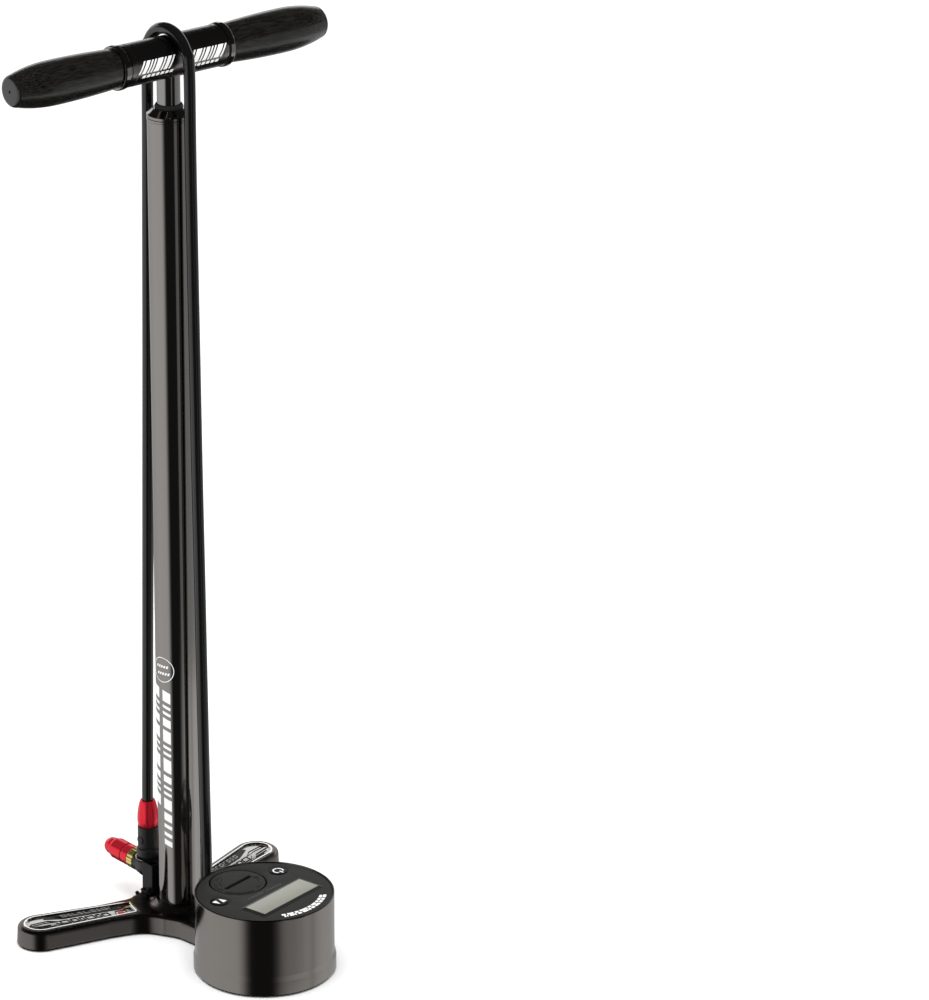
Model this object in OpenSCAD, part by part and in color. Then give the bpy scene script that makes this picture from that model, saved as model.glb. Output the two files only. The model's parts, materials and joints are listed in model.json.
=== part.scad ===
// Floor bike pump with a digital gauge. Millimetres, +Z up, origin on the floor under the barrel's axis.
// +X runs along the handle, the gauge stands at -Y and the chuck is parked at +Y.

/* [Barrel] */
// Outer diameter of the barrel
barrel_d = 30; // [28:0.5:32]
// Wall thickness of the barrel
barrel_wall = 1.6; // [1.2:0.1:2]
// Height of the barrel's top edge above the floor
barrel_top = 596.5; // [450:0.5:650]
// Diameter of the piston rod
rod_d = 16; // [12:0.5:16]

/* [Handle] */
// Length of the handle from grip end to grip end
handle_len = 261; // [220:1:300]
// Height of the handle's axis above the barrel's top edge
handle_rise = 43.5; // [40:0.5:60]
// Diameter of the handle's middle tube
handle_d = 29; // [27:0.5:31]
// Largest diameter of a grip
grip_d = 30.4; // [28:0.2:32]

/* [Base] */
// Thickness of the legs
leg_h = 15; // [14.5:0.5:17]
// Distance from the barrel's axis to the round end of a leg, along the leg
leg_len = 101; // [90:0.5:120]
// Angle by which each leg sweeps back
leg_sweep = 16; // [10:0.5:22]
// Radius of the round end of a leg
leg_end_r = 16; // [15:0.5:17]
// Height of the hub around the barrel
hub_h = 18.5; // [17.5:0.5:22]

/* [Gauge] */
// Diameter of the gauge housing at its top
gauge_d = 97.4; // [96:0.2:104]
// Height of the gauge housing
gauge_h = 59; // [54:0.5:66]
// Distance from the barrel's axis to the gauge's axis
gauge_y = 96.6; // [94:0.2:104]
// Turn of the gauge face about its own axis
gauge_turn = 12; // [0:1:15]

/* [Hose and chuck] */
// Outer diameter of the hose
hose_d = 8; // [7:0.5:8]
// Distance from the barrel's axis to the chuck's axis
chuck_y = 36.5; // [36:0.1:38]
// Height of the chuck's port axis
port_z = 31; // [30:0.1:32]
// Radius of the bore that takes the tyre valve
valve_r = 3.95; // [3.8:0.05:4.1]

/* [Hidden] */
$fn = 96;

black_metal = "#2b2927";
bright_metal = "#b9b6b0";
red_metal = "#c8223a";
brass = "#d2b457";
dark_rubber = "#161616";
black_plastic = "#242424";
black_wood = "#1b1917";
eps = 0.01;
bite = 0.3;                          // how far a straight side runs into a round one, so that they cross
run = 0.05;                          // radial clearance of a running fit
gap = 0.1;                           // clearance between parts that are only placed together
screw_r = 1.45;

barrel_r = barrel_d / 2;
bore_r = barrel_r - barrel_wall;
rod_r = rod_d / 2;
handle_z = barrel_top + handle_rise;
floor_gap = 1;                       // the casting and the housing stand this far off the floor, on their pads
pad_r = 10;
pad_h = 3;

// Leg layout: each leg's axis starts behind the hub's centre
leg_root_y = 6;
leg_root_w = 16.2;
leg_waist_w = 14.5;
leg_waist_s = 65;
neck_w = 21.5;
web_r = 20;
hub_r = 26;
hub_rise = 0.4;                      // the hub's disc stands this far above the legs, and the webs lie below them,
web_drop = 0.3;                      // so that no two of the casting's top faces lie in one plane
boss_r = 19.5;
hub_pad_r = 15.5;
inlay_w = 10.5;
inlay_start = 34;
inlay_depth = 2;
rear_w = 12;
rear_y = 31;
rear_h = 16;                         // top of the block behind the hub that carries the dock

// Barrel foot and check valve, counted up from the floor
plug_z = 2;
plug_h = 3;
plug_r = 9;
chamber_r = 7.5;
barrel_z = 8;
seat_h = 6;
seat_lip_h = 3;
valve_hole_r = 2.5;
poppet_r = 5.5;
duct_r = 1.3;
duct_z = 6.2;

// Piston, with its crown this far above the floor
piston_z = 18;
piston_h = 24;
spigot_r = 5;
nut_room_h = 7;
web_top = 13;

// Handle
boss_half = 20;
tube_half = 40;
collar_w = 6.3;
stud_r = 4;
stud_end = 112;
tube_wall = 2;

// Hose fitting on the neck
fit_y = 31;
crimp_z = 24;
crimp_h = 20;
hose_start_z = 30;
hose_end_z = 70;

// Chuck
ferrule_z = 62.3;
ferrule_h = 19.7;
body_z = 46;
body_r = 7.5;
elbow_r = 8.2;
nut_y = 49;
nut_len = 7;
collar_len = 27;
sleeve_r = 5.4;
sleeve_len = 12;
seal_len = 4.6;
button_z = 52.5;
button_r = 3.2;

// Dock, a post behind the hub with a round cradle for the chuck
dock_half = 9.5;
dock_y = 20;
dock_depth = 12;
dock_top = 38.6;
dock_screw_x = 5.8;
dock_screw_y = 24.6;
dock_foot_h = 2.2;
dock_seat_h = 4;                     // the screw heads sit this far above the foot of the post

// Gauge
housing_wall = 2.2;
band_h = 13;
face_r = gauge_d / 2 - 1.3;
face_z = gauge_h - 2.6;
face_t = 2;
cover_pos = [0, 24];
cover_r = 20;
button_pos = [32, 14];
gauge_button_r = 6.5;
lcd_pos = [0.2, -15.8];
lcd_size = [60, 18.8];
lens_foot = [63.6, 22.2];
lens_top = [58.6, 17.2];
lens_h = 0.9;
pcb_z = 47.5;
pcb_t = 1.6;
cell_r = 10;
cell_t = 3.2;
foot_r = 39;
foot_w = 6.4;
plate_screw_x = 12;
plate_screw_y = -70;
sensor_y = -68;
sensor_r = 3;

// Route of the hose's centre line, in the plane x = 0: up in front, over the handle and down behind
hose_route = [
  [0, -31, 30], [0, -31, 60], [0, -30, 110], [0, -28.6, 190], [0, -27.4, 270], [0, -26, 350],
  [0, -25, 430], [0, -24, 510], [0, -23.3, 580], [0, -23, 636],
  [0, -20, 647.5], [0, -11.5, 656], [0, 0, 659], [0, 11.5, 656], [0, 20, 647.5], [0, 22.8, 636],
  [0, 24, 580], [0, 25.6, 510], [0, 27.4, 430], [0, 29.5, 350], [0, 31.6, 270], [0, 33.7, 190],
  [0, 35.6, 120], [0, 36.5, 90], [0, 36.5, 70]
];

function unit(v) = v / norm(v);
// One ring of n points around p, square to the direction t
function ring(p, t, ref, r, n) =
  let (a = unit(cross(t, ref)), b = cross(t, a))
  [for (i = [0 : n - 1]) p + r * (cos(360 * i / n) * a + sin(360 * i / n) * b)];
// A smooth curve through the points p, with k steps from each point to the next
function curve(a, b, c, d, t) =
  0.5 * ((2 * b) + (c - a) * t + (2 * a - 5 * b + 4 * c - d) * t * t + (3 * b - a - 3 * c + d) * t * t * t);
function spline(p, k) = concat(
  [for (i = [0 : len(p) - 2]) for (j = [0 : k - 1])
    curve(p[max(i - 1, 0)], p[i], p[i + 1], p[min(i + 2, len(p) - 1)], j / k)],
  [p[len(p) - 1]]);

// A closed round bar swept along a path; ref is a direction that the path never takes
module swept(path, r, n, ref) {
  m = len(path);
  points = [for (i = [0 : m - 1])
    each ring(path[i], unit(path[min(i + 1, m - 1)] - path[max(i - 1, 0)]), ref, r, n)];
  sides = [for (k = [0 : m - 2]) for (i = [0 : n - 1])
    [k * n + i, (k + 1) * n + i, (k + 1) * n + (i + 1) % n, k * n + (i + 1) % n]];
  polyhedron(points, concat([[for (i = [0 : n - 1]) i]], sides, [[for (i = [n - 1 : -1 : 0]) (m - 1) * n + i]]));
}

// A tube or disc standing on z
module pipe(r_out, r_in, z, h) {
  translate([0, 0, z]) difference() {
    cylinder(r = r_out, h = h);
    translate([0, 0, -1]) cylinder(r = r_in, h = h + 2);
  }
}

module along_x(x) { translate([x, 0, handle_z]) rotate([0, 90, 0]) children(); }
module along_y(y, z) { translate([0, y, z]) rotate([-90, 0, 0]) children(); }
module on_leg(side, s, z) {
  mirror([side < 0 ? 1 : 0, 0, 0])
    translate([s * cos(leg_sweep), leg_root_y + s * sin(leg_sweep), z]) rotate([0, 0, leg_sweep]) children();
}
module at_gauge() { translate([0, -gauge_y, 0]) rotate([0, 0, gauge_turn]) children(); }
module at_face(pos, z) { at_gauge() translate([pos[0], pos[1], z]) children(); }
module at_chuck() { translate([0, chuck_y, 0]) children(); }
module hex(across, h) { cylinder(r = across / 2 / cos(30), h = h, $fn = 6); }

// ---- base ----

module leg_blank(side) {
  on_leg(side, 0, floor_gap) linear_extrude(leg_h - floor_gap)
    polygon([[0, -leg_root_w], [leg_waist_s, -leg_waist_w], [leg_len, bite - leg_end_r],
             [leg_len, leg_end_r - bite], [leg_waist_s, leg_waist_w], [0, leg_root_w]]);
  on_leg(side, leg_len, floor_gap) cylinder(r = leg_end_r, h = leg_h - floor_gap);
}

// Fills the corner between a leg and the neck up to a round hollow
module web(side) {
  web_x = neck_w + web_r - bite;
  normal = [sin(leg_sweep), -cos(leg_sweep)];
  web_y = leg_root_y - (leg_root_w + web_r - bite - web_x * normal[0]) / cos(leg_sweep);
  mirror([side < 0 ? 1 : 0, 0, 0]) difference() {
    translate([0, 0, floor_gap]) linear_extrude(leg_h - web_drop - floor_gap)
      polygon([[12, 10], [12, web_y], [web_x, web_y],
               [web_x - web_r * normal[0], web_y - web_r * normal[1]], [web_x - web_r * normal[0], 12]]);
    translate([web_x, web_y, 0]) cylinder(r = web_r, h = leg_h + 1);
  }
}

module inlay_pocket(side, grow, z, h) {
  on_leg(side, 0, z) linear_extrude(h)
    polygon([[inlay_start - grow, -inlay_w + 2 - grow], [leg_len, bite - inlay_w - 1 - grow],
             [leg_len, inlay_w + 1 + grow - bite], [inlay_start - grow, inlay_w - 2 + grow]]);
  on_leg(side, leg_len, z) cylinder(r = inlay_w + 1 + grow, h = h);
}

module base_casting() {
  color(black_metal) difference() {
    union() {
      for (side = [-1, 1]) {
        leg_blank(side);
        web(side);
      }
      translate([0, 0, floor_gap]) cylinder(r = hub_r, h = leg_h + hub_rise - floor_gap);
      translate([0, 0, leg_h]) cylinder(r = boss_r, h = hub_h - leg_h);
      translate([-rear_w, 8, floor_gap]) cube([2 * rear_w, rear_y - 8, rear_h - floor_gap]);
      difference() {
        translate([-neck_w, -56, floor_gap]) cube([2 * neck_w, 56, leg_h - floor_gap]);
        translate([0, -gauge_y, -1]) cylinder(r = gauge_d / 2 - 6, h = leg_h + 2);
      }
      translate([-neck_w + 3, -78, floor_gap + 2.2]) cube([2 * neck_w - 6, 30, leg_h - floor_gap - 5]);
    }
    // barrel socket, valve chamber, plug and pad
    translate([0, 0, barrel_z]) cylinder(r = barrel_r + run, h = hub_h);
    translate([0, 0, plug_z]) cylinder(r = chamber_r, h = hub_h);
    cylinder(r = plug_r + run, h = plug_z + plug_h);
    cylinder(r = hub_pad_r + gap, h = plug_z);
    // air way to the hose and the sensor
    translate([0, sensor_y, duct_z]) rotate([-90, 0, 0]) cylinder(r = duct_r, h = -sensor_y - 2);
    translate([0, -fit_y, duct_z - 2]) cylinder(r = 4 + run, h = hub_h);
    translate([0, sensor_y, duct_z - 2]) cylinder(r = sensor_r + run, h = hub_h);
    // pockets for the pads and the inlays
    for (side = [-1, 1]) {
      on_leg(side, leg_len, 0) cylinder(r = pad_r + gap, h = pad_h);
      inlay_pocket(side, gap, leg_h - inlay_depth, inlay_depth + 1);
      translate([side * dock_screw_x, dock_screw_y, rear_h - 8]) cylinder(r = 1.5, h = 10);
      translate([side * plate_screw_x, plate_screw_y, 0]) cylinder(r = 1.5, h = 8);
    }
  }
}

module leg_inlay(side) {
  color(bright_metal) difference() {
    inlay_pocket(side, 0, leg_h - inlay_depth, 1.3);
    for (s = [46 : 12 : 94]) {
      on_leg(side, s, leg_h - inlay_depth + 0.9) translate([-1, -6, 0]) cube([2, 12, 2]);
    }
  }
}

module leg_pads() {
  color(dark_rubber) for (side = [-1, 1]) {
    on_leg(side, leg_len, 0) cylinder(r = pad_r, h = pad_h);
  }
}

module hub_pad() { color(dark_rubber) cylinder(r = hub_pad_r, h = plug_z); }

module base_plug() {
  color(bright_metal) difference() {
    translate([0, 0, plug_z]) cylinder(r = plug_r, h = plug_h);
    translate([0, 0, plug_z - eps]) hex(8, 1.5);
  }
}

// ---- barrel ----

module barrel() { color(black_metal) pipe(barrel_r, bore_r, barrel_z, barrel_top - barrel_z); }

module barrel_seal() { color(dark_rubber) pipe(bore_r, bore_r - 1.5, barrel_z + 3.6, 1.8); }

module barrel_cap() {
  color(black_metal) translate([0, 0, barrel_top]) rotate_extrude() polygon([
    [10.6, -10], [bore_r - run, -10], [bore_r - run, 0], [barrel_r + 0.3, 0], [barrel_r + 0.3, 1.6],
    [barrel_r - 0.1, 1.6], [barrel_r - 0.1, 2], [barrel_r + 0.3, 2], [barrel_r + 0.3, 4],
    [barrel_r - 0.5, 4.6], [10.9, 8], [rod_r + 0.6, 8], [rod_r + 0.6, 2], [10.6, 2]]);
}

module rod_bush() { color(bright_metal) pipe(10.6, rod_r + run, barrel_top - 10, 12); }

module rod_wiper() { color(dark_rubber) pipe(rod_r + 1.6, rod_r + run, barrel_top + 8, 3); }

module top_bumper() { color(dark_rubber) pipe(bore_r - 0.6, rod_r + 0.6, barrel_top - 16, 6); }

module check_valve_seat() {
  color(brass) difference() {
    translate([0, 0, barrel_z]) cylinder(r = bore_r - run, h = seat_h);
    translate([0, 0, barrel_z - 1]) cylinder(r = chamber_r, h = seat_lip_h + 1);
    translate([0, 0, barrel_z]) cylinder(r = valve_hole_r, h = seat_h + 1);
    pipe(bore_r + 1, bore_r - 1.5, barrel_z + 3.6, 1.8);
  }
}

module check_valve_poppet() {
  color(dark_rubber) {
    translate([0, 0, barrel_z + 0.9]) cylinder(r = poppet_r, h = 2);
    translate([0, 0, 7]) cylinder(r = 1.5, h = 2);
  }
}

module check_valve_spring() {
  coil_r = 3.8;
  turns = 3;
  low = plug_z + plug_h + 0.45;
  rise = barrel_z + 0.9 - low - 0.45;
  color(bright_metal) swept([for (i = [0 : 36]) let (a = 360 * turns * i / 36)
    [coil_r * cos(a), coil_r * sin(a), low + rise * i / 36]], 0.4, 6, [0, 0, 1]);
}

// ---- piston ----

module piston_head() {
  color(black_plastic) translate([0, 0, piston_z]) rotate_extrude() polygon([
    [9, 0], [bore_r - 0.4, 0], [bore_r - 0.4, 8], [bore_r - 2, 8], [bore_r - 2, 11], [bore_r - 0.4, 11],
    [bore_r - 0.4, 16], [bore_r - 1.2, 16], [bore_r - 1.2, 21], [bore_r - 0.4, 21],
    [bore_r - 0.4, piston_h], [rod_r + run, piston_h], [rod_r + run, web_top],
    [spigot_r + run, web_top], [spigot_r + run, nut_room_h], [9, nut_room_h]]);
}

module piston_seal() { color(dark_rubber) pipe(bore_r - run, bore_r - 2, piston_z + 8, 3); }

module piston_guide_ring() { color(brass) pipe(bore_r - run, bore_r - 1.2, piston_z + 16, 5); }

module piston_nut() {
  color(bright_metal) difference() {
    translate([0, 0, piston_z + 1.5]) hex(14, nut_room_h - 1.6);
    cylinder(r = spigot_r + run, h = piston_z + piston_h);
  }
}

module piston_rod() {
  color(black_metal) {
    difference() {
      translate([0, 0, piston_z + web_top + gap]) cylinder(r = rod_r, h = handle_z + 6 - piston_z - web_top);
      translate([0, 0, piston_z + web_top + 8]) cylinder(r = rod_r - 1.5, h = handle_z);
    }
    translate([0, 0, piston_z + 0.8]) cylinder(r = spigot_r, h = web_top);
  }
}

// ---- handle ----

module handle_boss() {
  color(bright_metal) difference() {
    along_x(-boss_half) cylinder(r = handle_d / 2 - tube_wall - run, h = 2 * boss_half);
    translate([0, 0, handle_z - 30]) cylinder(r = rod_r + run, h = 36.2);
    along_x(-boss_half - 1) cylinder(r = stud_r + run, h = 2 * boss_half + 2);
  }
}

module handle_tube() {
  color(black_metal) difference() {
    along_x(-tube_half) cylinder(r = handle_d / 2, h = 2 * tube_half);
    along_x(-tube_half - 1) cylinder(r = handle_d / 2 - tube_wall, h = 2 * tube_half + 2);
    translate([0, 0, handle_z - 30]) cylinder(r = rod_r + run, h = 30);
  }
}

module handle_collar(side) {
  r = handle_d / 2;
  color(black_metal) mirror([side < 0 ? 1 : 0, 0, 0]) along_x(tube_half) rotate_extrude() polygon([
    [r - tube_wall, 0], [r - 0.5, 0], [r - 0.5, 1.5], [r + 0.8, 2], [r + 0.8, collar_w - 0.6],
    [r + 0.2, collar_w], [r - tube_wall, collar_w]]);
}

module grip(side) {
  start = tube_half + collar_w;
  len = handle_len / 2 - start;
  r = grip_d / 2;
  swell = [for (i = [0 : 24]) let (t = i / 24)
    [r - 1.8 * pow(1 - min(t / 0.6, 1), 2) - 4.2 * pow(max((t - 0.6) / 0.4, 0), 2.2), t * (len - 3)]];
  color(black_wood) mirror([side < 0 ? 1 : 0, 0, 0]) difference() {
    along_x(start) rotate_extrude() polygon(concat(
      [[0, boss_half + 1 - start], [handle_d / 2 - tube_wall - run, boss_half + 1 - start],
       [handle_d / 2 - tube_wall - run, 0]], swell,
      [[r - 5.1, len - 1.4], [r - 6.6, len - 0.3], [r - 7.6, len], [0, len]]));
    along_x(boss_half) cylinder(r = stud_r + run, h = stud_end - boss_half + 0.5);
    along_x(stud_end) cylinder(r = 1, h = 40);
  }
}

module grip_studs() {
  color(bright_metal) for (side = [-1, 1]) {
    mirror([side < 0 ? 1 : 0, 0, 0]) along_x(rod_r + 1.5) cylinder(r = stud_r, h = stud_end - rod_r - 1.5);
  }
}

// ---- hose and its fittings ----

module hose_fitting() {
  color(bright_metal) translate([0, -fit_y, 0]) difference() {
    union() {
      translate([0, 0, 9]) cylinder(r = 4, h = 8);
      translate([0, 0, leg_h + hub_rise + gap]) hex(12, 5);
      translate([0, 0, leg_h + 5]) cylinder(r = 2.6, h = hose_start_z - leg_h - 6);
    }
    cylinder(r = 1.2, h = 60);
  }
}

module hose_crimp() {
  color(black_metal) translate([0, -fit_y, 0]) difference() {
    translate([0, 0, crimp_z - 3]) cylinder(r = hose_d / 2 + 1.4, h = crimp_h + 3);
    translate([0, 0, crimp_z - 4]) cylinder(r = 2.6 + run, h = 20);
    translate([0, 0, hose_start_z - eps]) cylinder(r = hose_d / 2 + gap, h = 40);
  }
}

module hose() { color(dark_rubber) swept(spline(hose_route, 3), hose_d / 2, 10, [1, 0, 0]); }

module hose_ferrule() {
  color(red_metal) at_chuck() translate([0, 0, ferrule_z]) difference() {
    rotate_extrude() polygon([[0, 0], [6.7, 0], [7.2, 1], [7.6, 5], [7.6, 7.5], [7.2, 11.5],
      [6.1, 17.5], [5.3, ferrule_h], [0, ferrule_h]]);
    translate([0, 0, hose_end_z - ferrule_z - gap]) cylinder(r = hose_d / 2 + run, h = 40);
  }
}

module chuck_body() {
  color(black_plastic) at_chuck() difference() {
    translate([0, 0, body_z]) cylinder(r = body_r, h = ferrule_z - body_z);
    translate([-body_r - 1, 0, button_z]) rotate([0, 90, 0]) cylinder(r = button_r + run, h = body_r);
    translate([0, 0, body_z - 1]) cylinder(r = 1.5, h = 40);
  }
}

module bleed_button() {
  color(black_plastic) at_chuck() translate([-body_r - 0.5, 0, button_z]) rotate([0, 90, 0]) difference() {
    cylinder(r = button_r, h = 3);
    translate([0, 0, -eps]) cylinder(r = 1.6, h = 0.4);
  }
}

module bleed_spring() {
  start = -body_r + 2.9;
  color(bright_metal) at_chuck() translate([start, 0, button_z]) rotate([0, 90, 0])
    swept([for (i = [0 : 36]) let (a = 720 * i / 36)
      [2 * cos(a), 2 * sin(a), 2.9 * i / 36]], 0.35, 6, [0, 0, 1]);
}

module chuck_elbow() {
  color(black_plastic) difference() {
    union() {
      at_chuck() translate([0, 0, port_z]) sphere(r = elbow_r);
      at_chuck() translate([0, 0, port_z]) cylinder(r = elbow_r, h = body_z - port_z);
      along_y(chuck_y, port_z) cylinder(r = elbow_r, h = nut_y - chuck_y - 4);
      along_y(nut_y - 4.01, port_z) cylinder(r = elbow_r - 0.8, h = 4.01);
    }
    at_chuck() translate([0, 0, port_z]) cylinder(r = 1.5, h = 20);
    along_y(chuck_y, port_z) cylinder(r = 1.5, h = 40);
  }
}

module chuck_nut() {
  color(brass) along_y(nut_y, port_z) difference() {
    union() {
      cylinder(r = 6.9, h = 1.2);
      translate([0, 0, 1.2 - eps]) hex(14, nut_len - 2.4 + 2 * eps);
      translate([0, 0, nut_len - 1.2]) cylinder(r = 6.9, h = 1.2);
      cylinder(r = sleeve_r, h = nut_len + sleeve_len);
    }
    translate([0, 0, -1]) cylinder(r = 1.8, h = 60);
  }
}

module chuck_collar() {
  seal_end = sleeve_len + seal_len + 0.2;
  color(red_metal) along_y(nut_y + nut_len, port_z) rotate_extrude() polygon([
    [sleeve_r + run, 0.1], [7.3, 0.1], [7.6, 0.6], [7.6, 5], [7, 5.6], [7, 6.6], [7.6, 7.2], [7.6, 17.4],
    [7, 18], [6.6, 19.2], [6.2, 19.8], [6.2, 22.6], [5.2, collar_len - 0.6], [4.6, collar_len],
    [valve_r, collar_len], [valve_r, seal_end], [sleeve_r + run, seal_end]]);
}

module chuck_seal() {
  color(dark_rubber) along_y(nut_y + nut_len + sleeve_len + 0.1, port_z) difference() {
    cylinder(r = sleeve_r - gap, h = seal_len);
    translate([0, 0, -1]) cylinder(r = 2.7, h = seal_len + 2);
  }
}

// ---- chuck dock ----

module dock() {
  color(black_plastic) difference() {
    union() {
      translate([-dock_half, dock_y, rear_h]) cube([2 * dock_half, dock_depth, dock_top - rear_h]);
      translate([-rear_w, dock_y, rear_h]) cube([2 * rear_w, rear_y - dock_y, dock_foot_h]);
    }
    at_chuck() translate([0, 0, rear_h - 1]) cylinder(r = elbow_r + 0.15, h = 40);
    for (side = [-1, 1]) {
      translate([side * dock_screw_x, dock_screw_y, rear_h - 1]) cylinder(r = 1.6, h = 40);
      translate([side * dock_screw_x, dock_screw_y, rear_h + dock_seat_h]) cylinder(r = 3.1, h = 40);
    }
  }
}

module dock_screws() {
  color(bright_metal) for (side = [-1, 1]) {
    translate([side * dock_screw_x, dock_screw_y, rear_h]) difference() {
      union() {
        translate([0, 0, -7]) cylinder(r = screw_r, h = 7 + dock_seat_h + 0.1);
        translate([0, 0, dock_seat_h]) cylinder(r = 2.7, h = 2);
      }
      translate([0, 0, dock_seat_h + 1]) hex(2.5, 3);
    }
  }
}

// ---- gauge ----

module gauge_housing() {
  r = gauge_d / 2;
  color(black_metal) difference() {
    translate([0, -gauge_y, 0]) rotate_extrude() polygon([
      [r - housing_wall + 0.6, floor_gap], [r + 0.8, floor_gap], [r + 1.2, floor_gap + 1], [r + 1.2, band_h],
      [r + 0.7, band_h + 0.5], [r, gauge_h - 1.2], [r - 0.5, gauge_h], [r - 1.1, gauge_h],
      [r - 1.2, face_z], [r - 3.2, face_z], [r - 3.2, face_z - 3], [r - housing_wall, face_z - 6],
      [r - housing_wall + 0.6, band_h]]);
    translate([-neck_w - gap, -gauge_y, 0]) cube([2 * neck_w + 2 * gap, 60, leg_h + gap]);
  }
}

module gauge_bottom_plate() {
  color(black_plastic) translate([0, -gauge_y, 0]) difference() {
    translate([0, 0, floor_gap]) cylinder(r = gauge_d / 2 - housing_wall + 0.5, h = 2);
    translate([-neck_w - gap, 40, 0]) cube([2 * neck_w + 2 * gap, 20, 10]);
    for (side = [-1, 1]) {
      translate([side * plate_screw_x, gauge_y + plate_screw_y, 0]) cylinder(r = 1.6, h = 10);
      translate([side * plate_screw_x, gauge_y + plate_screw_y, floor_gap - eps]) cylinder(r = 3, h = 1.1);
    }
    pipe(foot_r + gap, foot_r - foot_w - gap, 0, floor_gap + 1);
  }
}

module gauge_foot() {
  color(dark_rubber) translate([0, -gauge_y, 0]) pipe(foot_r, foot_r - foot_w, 0, floor_gap + 1);
}

module gauge_screws() {
  color(bright_metal) for (side = [-1, 1]) {
    translate([side * plate_screw_x, plate_screw_y, floor_gap + 0.1]) difference() {
      union() {
        cylinder(r = 2.8, h = 0.9);
        cylinder(r = screw_r, h = 6.5);
      }
      translate([0, 0, -eps]) hex(2, 0.7);
    }
  }
}

module gauge_face() {
  color(black_plastic) difference() {
    at_gauge() translate([0, 0, face_z]) cylinder(r = face_r - gap, h = face_t);
    at_face(cover_pos, 0) cylinder(r = cover_r + gap, h = 100);
    for (side = [-1, 1]) {
      at_face([side * button_pos[0], button_pos[1]], 0) cylinder(r = gauge_button_r + gap, h = 100);
    }
    at_face(lcd_pos, 50) translate([-lcd_size[0] / 2, -lcd_size[1] / 2, 0]) cube([lcd_size[0], lcd_size[1], 20]);
  }
}

module lcd_window() {
  color("#9a9a8c") at_face(lcd_pos, face_z) {
    translate([-lcd_size[0] / 2 + gap, -lcd_size[1] / 2 + gap, 0])
      cube([lcd_size[0] - 2 * gap, lcd_size[1] - 2 * gap, face_t + 0.5]);
    hull() {
      translate([0, 0, face_t + 0.1]) cube([lens_foot[0], lens_foot[1], 0.1], center = true);
      translate([0, 0, face_t + lens_h]) cube([lens_top[0], lens_top[1], 0.1], center = true);
    }
  }
}

module lcd_panel() {
  color("#8d8f80") at_face(lcd_pos, pcb_z + pcb_t + 3.5) translate([-33, -11.5, 0]) cube([66, 23, 2.6]);
}

module gauge_pcb() {
  color("#1f5a3a") at_gauge() difference() {
    translate([0, 0, pcb_z]) cylinder(r = gauge_d / 2 - 8, h = pcb_t);
    translate([0, 0, pcb_z - 1]) cylinder(r = 1.2, h = 5);
  }
}

module button_switches() {
  color(bright_metal) for (side = [-1, 1]) {
    at_face([side * button_pos[0], button_pos[1]], pcb_z + pcb_t) cylinder(r = 3, h = 1.4);
  }
}

module pressure_sensor() {
  color(bright_metal) translate([0, sensor_y, 38]) difference() {
    cylinder(r = 6, h = pcb_z - 38);
    translate([0, 0, -1]) cylinder(r = sensor_r + run, h = 6);
  }
}

module sensor_seal() { color(dark_rubber) translate([0, sensor_y, 0]) pipe(5, sensor_r + run, 36.4, 1.6); }

module sensor_tube() { color(brass) translate([0, sensor_y, 0]) pipe(sensor_r, 1.2, 9, 32); }

module battery() { color(bright_metal) at_face(cover_pos, pcb_z + pcb_t + 1.2) cylinder(r = cell_r, h = cell_t); }

module battery_contact() {
  color(brass) at_face(cover_pos, pcb_z + pcb_t) difference() {
    cylinder(r = cell_r - 2, h = 1.2);
    translate([0, 0, -1]) cylinder(r = 4, h = 4);
  }
}

module battery_cover() {
  color(black_plastic) at_face(cover_pos, face_z + face_t) difference() {
    union() {
      translate([0, 0, -3.4]) cylinder(r = cover_r, h = 3.4);
      translate([0, 0, -7]) pipe(17, 14.5, 0, 3.7);
    }
    translate([-13.5, -1.2, -1.8]) cube([27, 2.4, 3]);
  }
}

module battery_cover_seal() {
  color(dark_rubber) at_face(cover_pos, face_z + face_t) pipe(18.6, 17.1, -4.7, 1.25);
}

module gauge_button(side) {
  color(black_plastic) at_face([side * button_pos[0], button_pos[1]], face_z + face_t) {
    translate([0, 0, -2.2]) cylinder(r = gauge_button_r, h = 2.5);
    translate([0, 0, -6.4]) cylinder(r = 1.5, h = 4.3);
  }
}

base_casting();
leg_inlay(-1);  // leg_inlay_left
leg_inlay(1);  // leg_inlay_right
leg_pads();
hub_pad();
base_plug();
barrel();
barrel_seal();
barrel_cap();
rod_bush();
rod_wiper();
top_bumper();
check_valve_seat();
check_valve_poppet();
check_valve_spring();
piston_head();
piston_seal();
piston_guide_ring();
piston_nut();
piston_rod();
handle_boss();
handle_tube();
handle_collar(-1);  // handle_collar_left
handle_collar(1);  // handle_collar_right
grip(-1);  // grip_left
grip(1);  // grip_right
grip_studs();
hose_fitting();
hose_crimp();
hose();
hose_ferrule();
chuck_body();
bleed_button();
bleed_spring();
chuck_elbow();
chuck_nut();
chuck_collar();
chuck_seal();
dock();
dock_screws();
gauge_housing();
gauge_bottom_plate();
gauge_foot();
gauge_screws();
gauge_face();
lcd_window();
lcd_panel();
gauge_pcb();
button_switches();
pressure_sensor();
sensor_seal();
sensor_tube();
battery();
battery_contact();
battery_cover();
battery_cover_seal();
gauge_button(1);  // power_button
gauge_button(-1);  // unit_button
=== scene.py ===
"""Floor bike pump: the looks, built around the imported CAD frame. Shapes are written in millimetres and scaled by MM."""
import json
import math

import bmesh
import bpy
import numpy as np
from mathutils import Matrix, Vector

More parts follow.
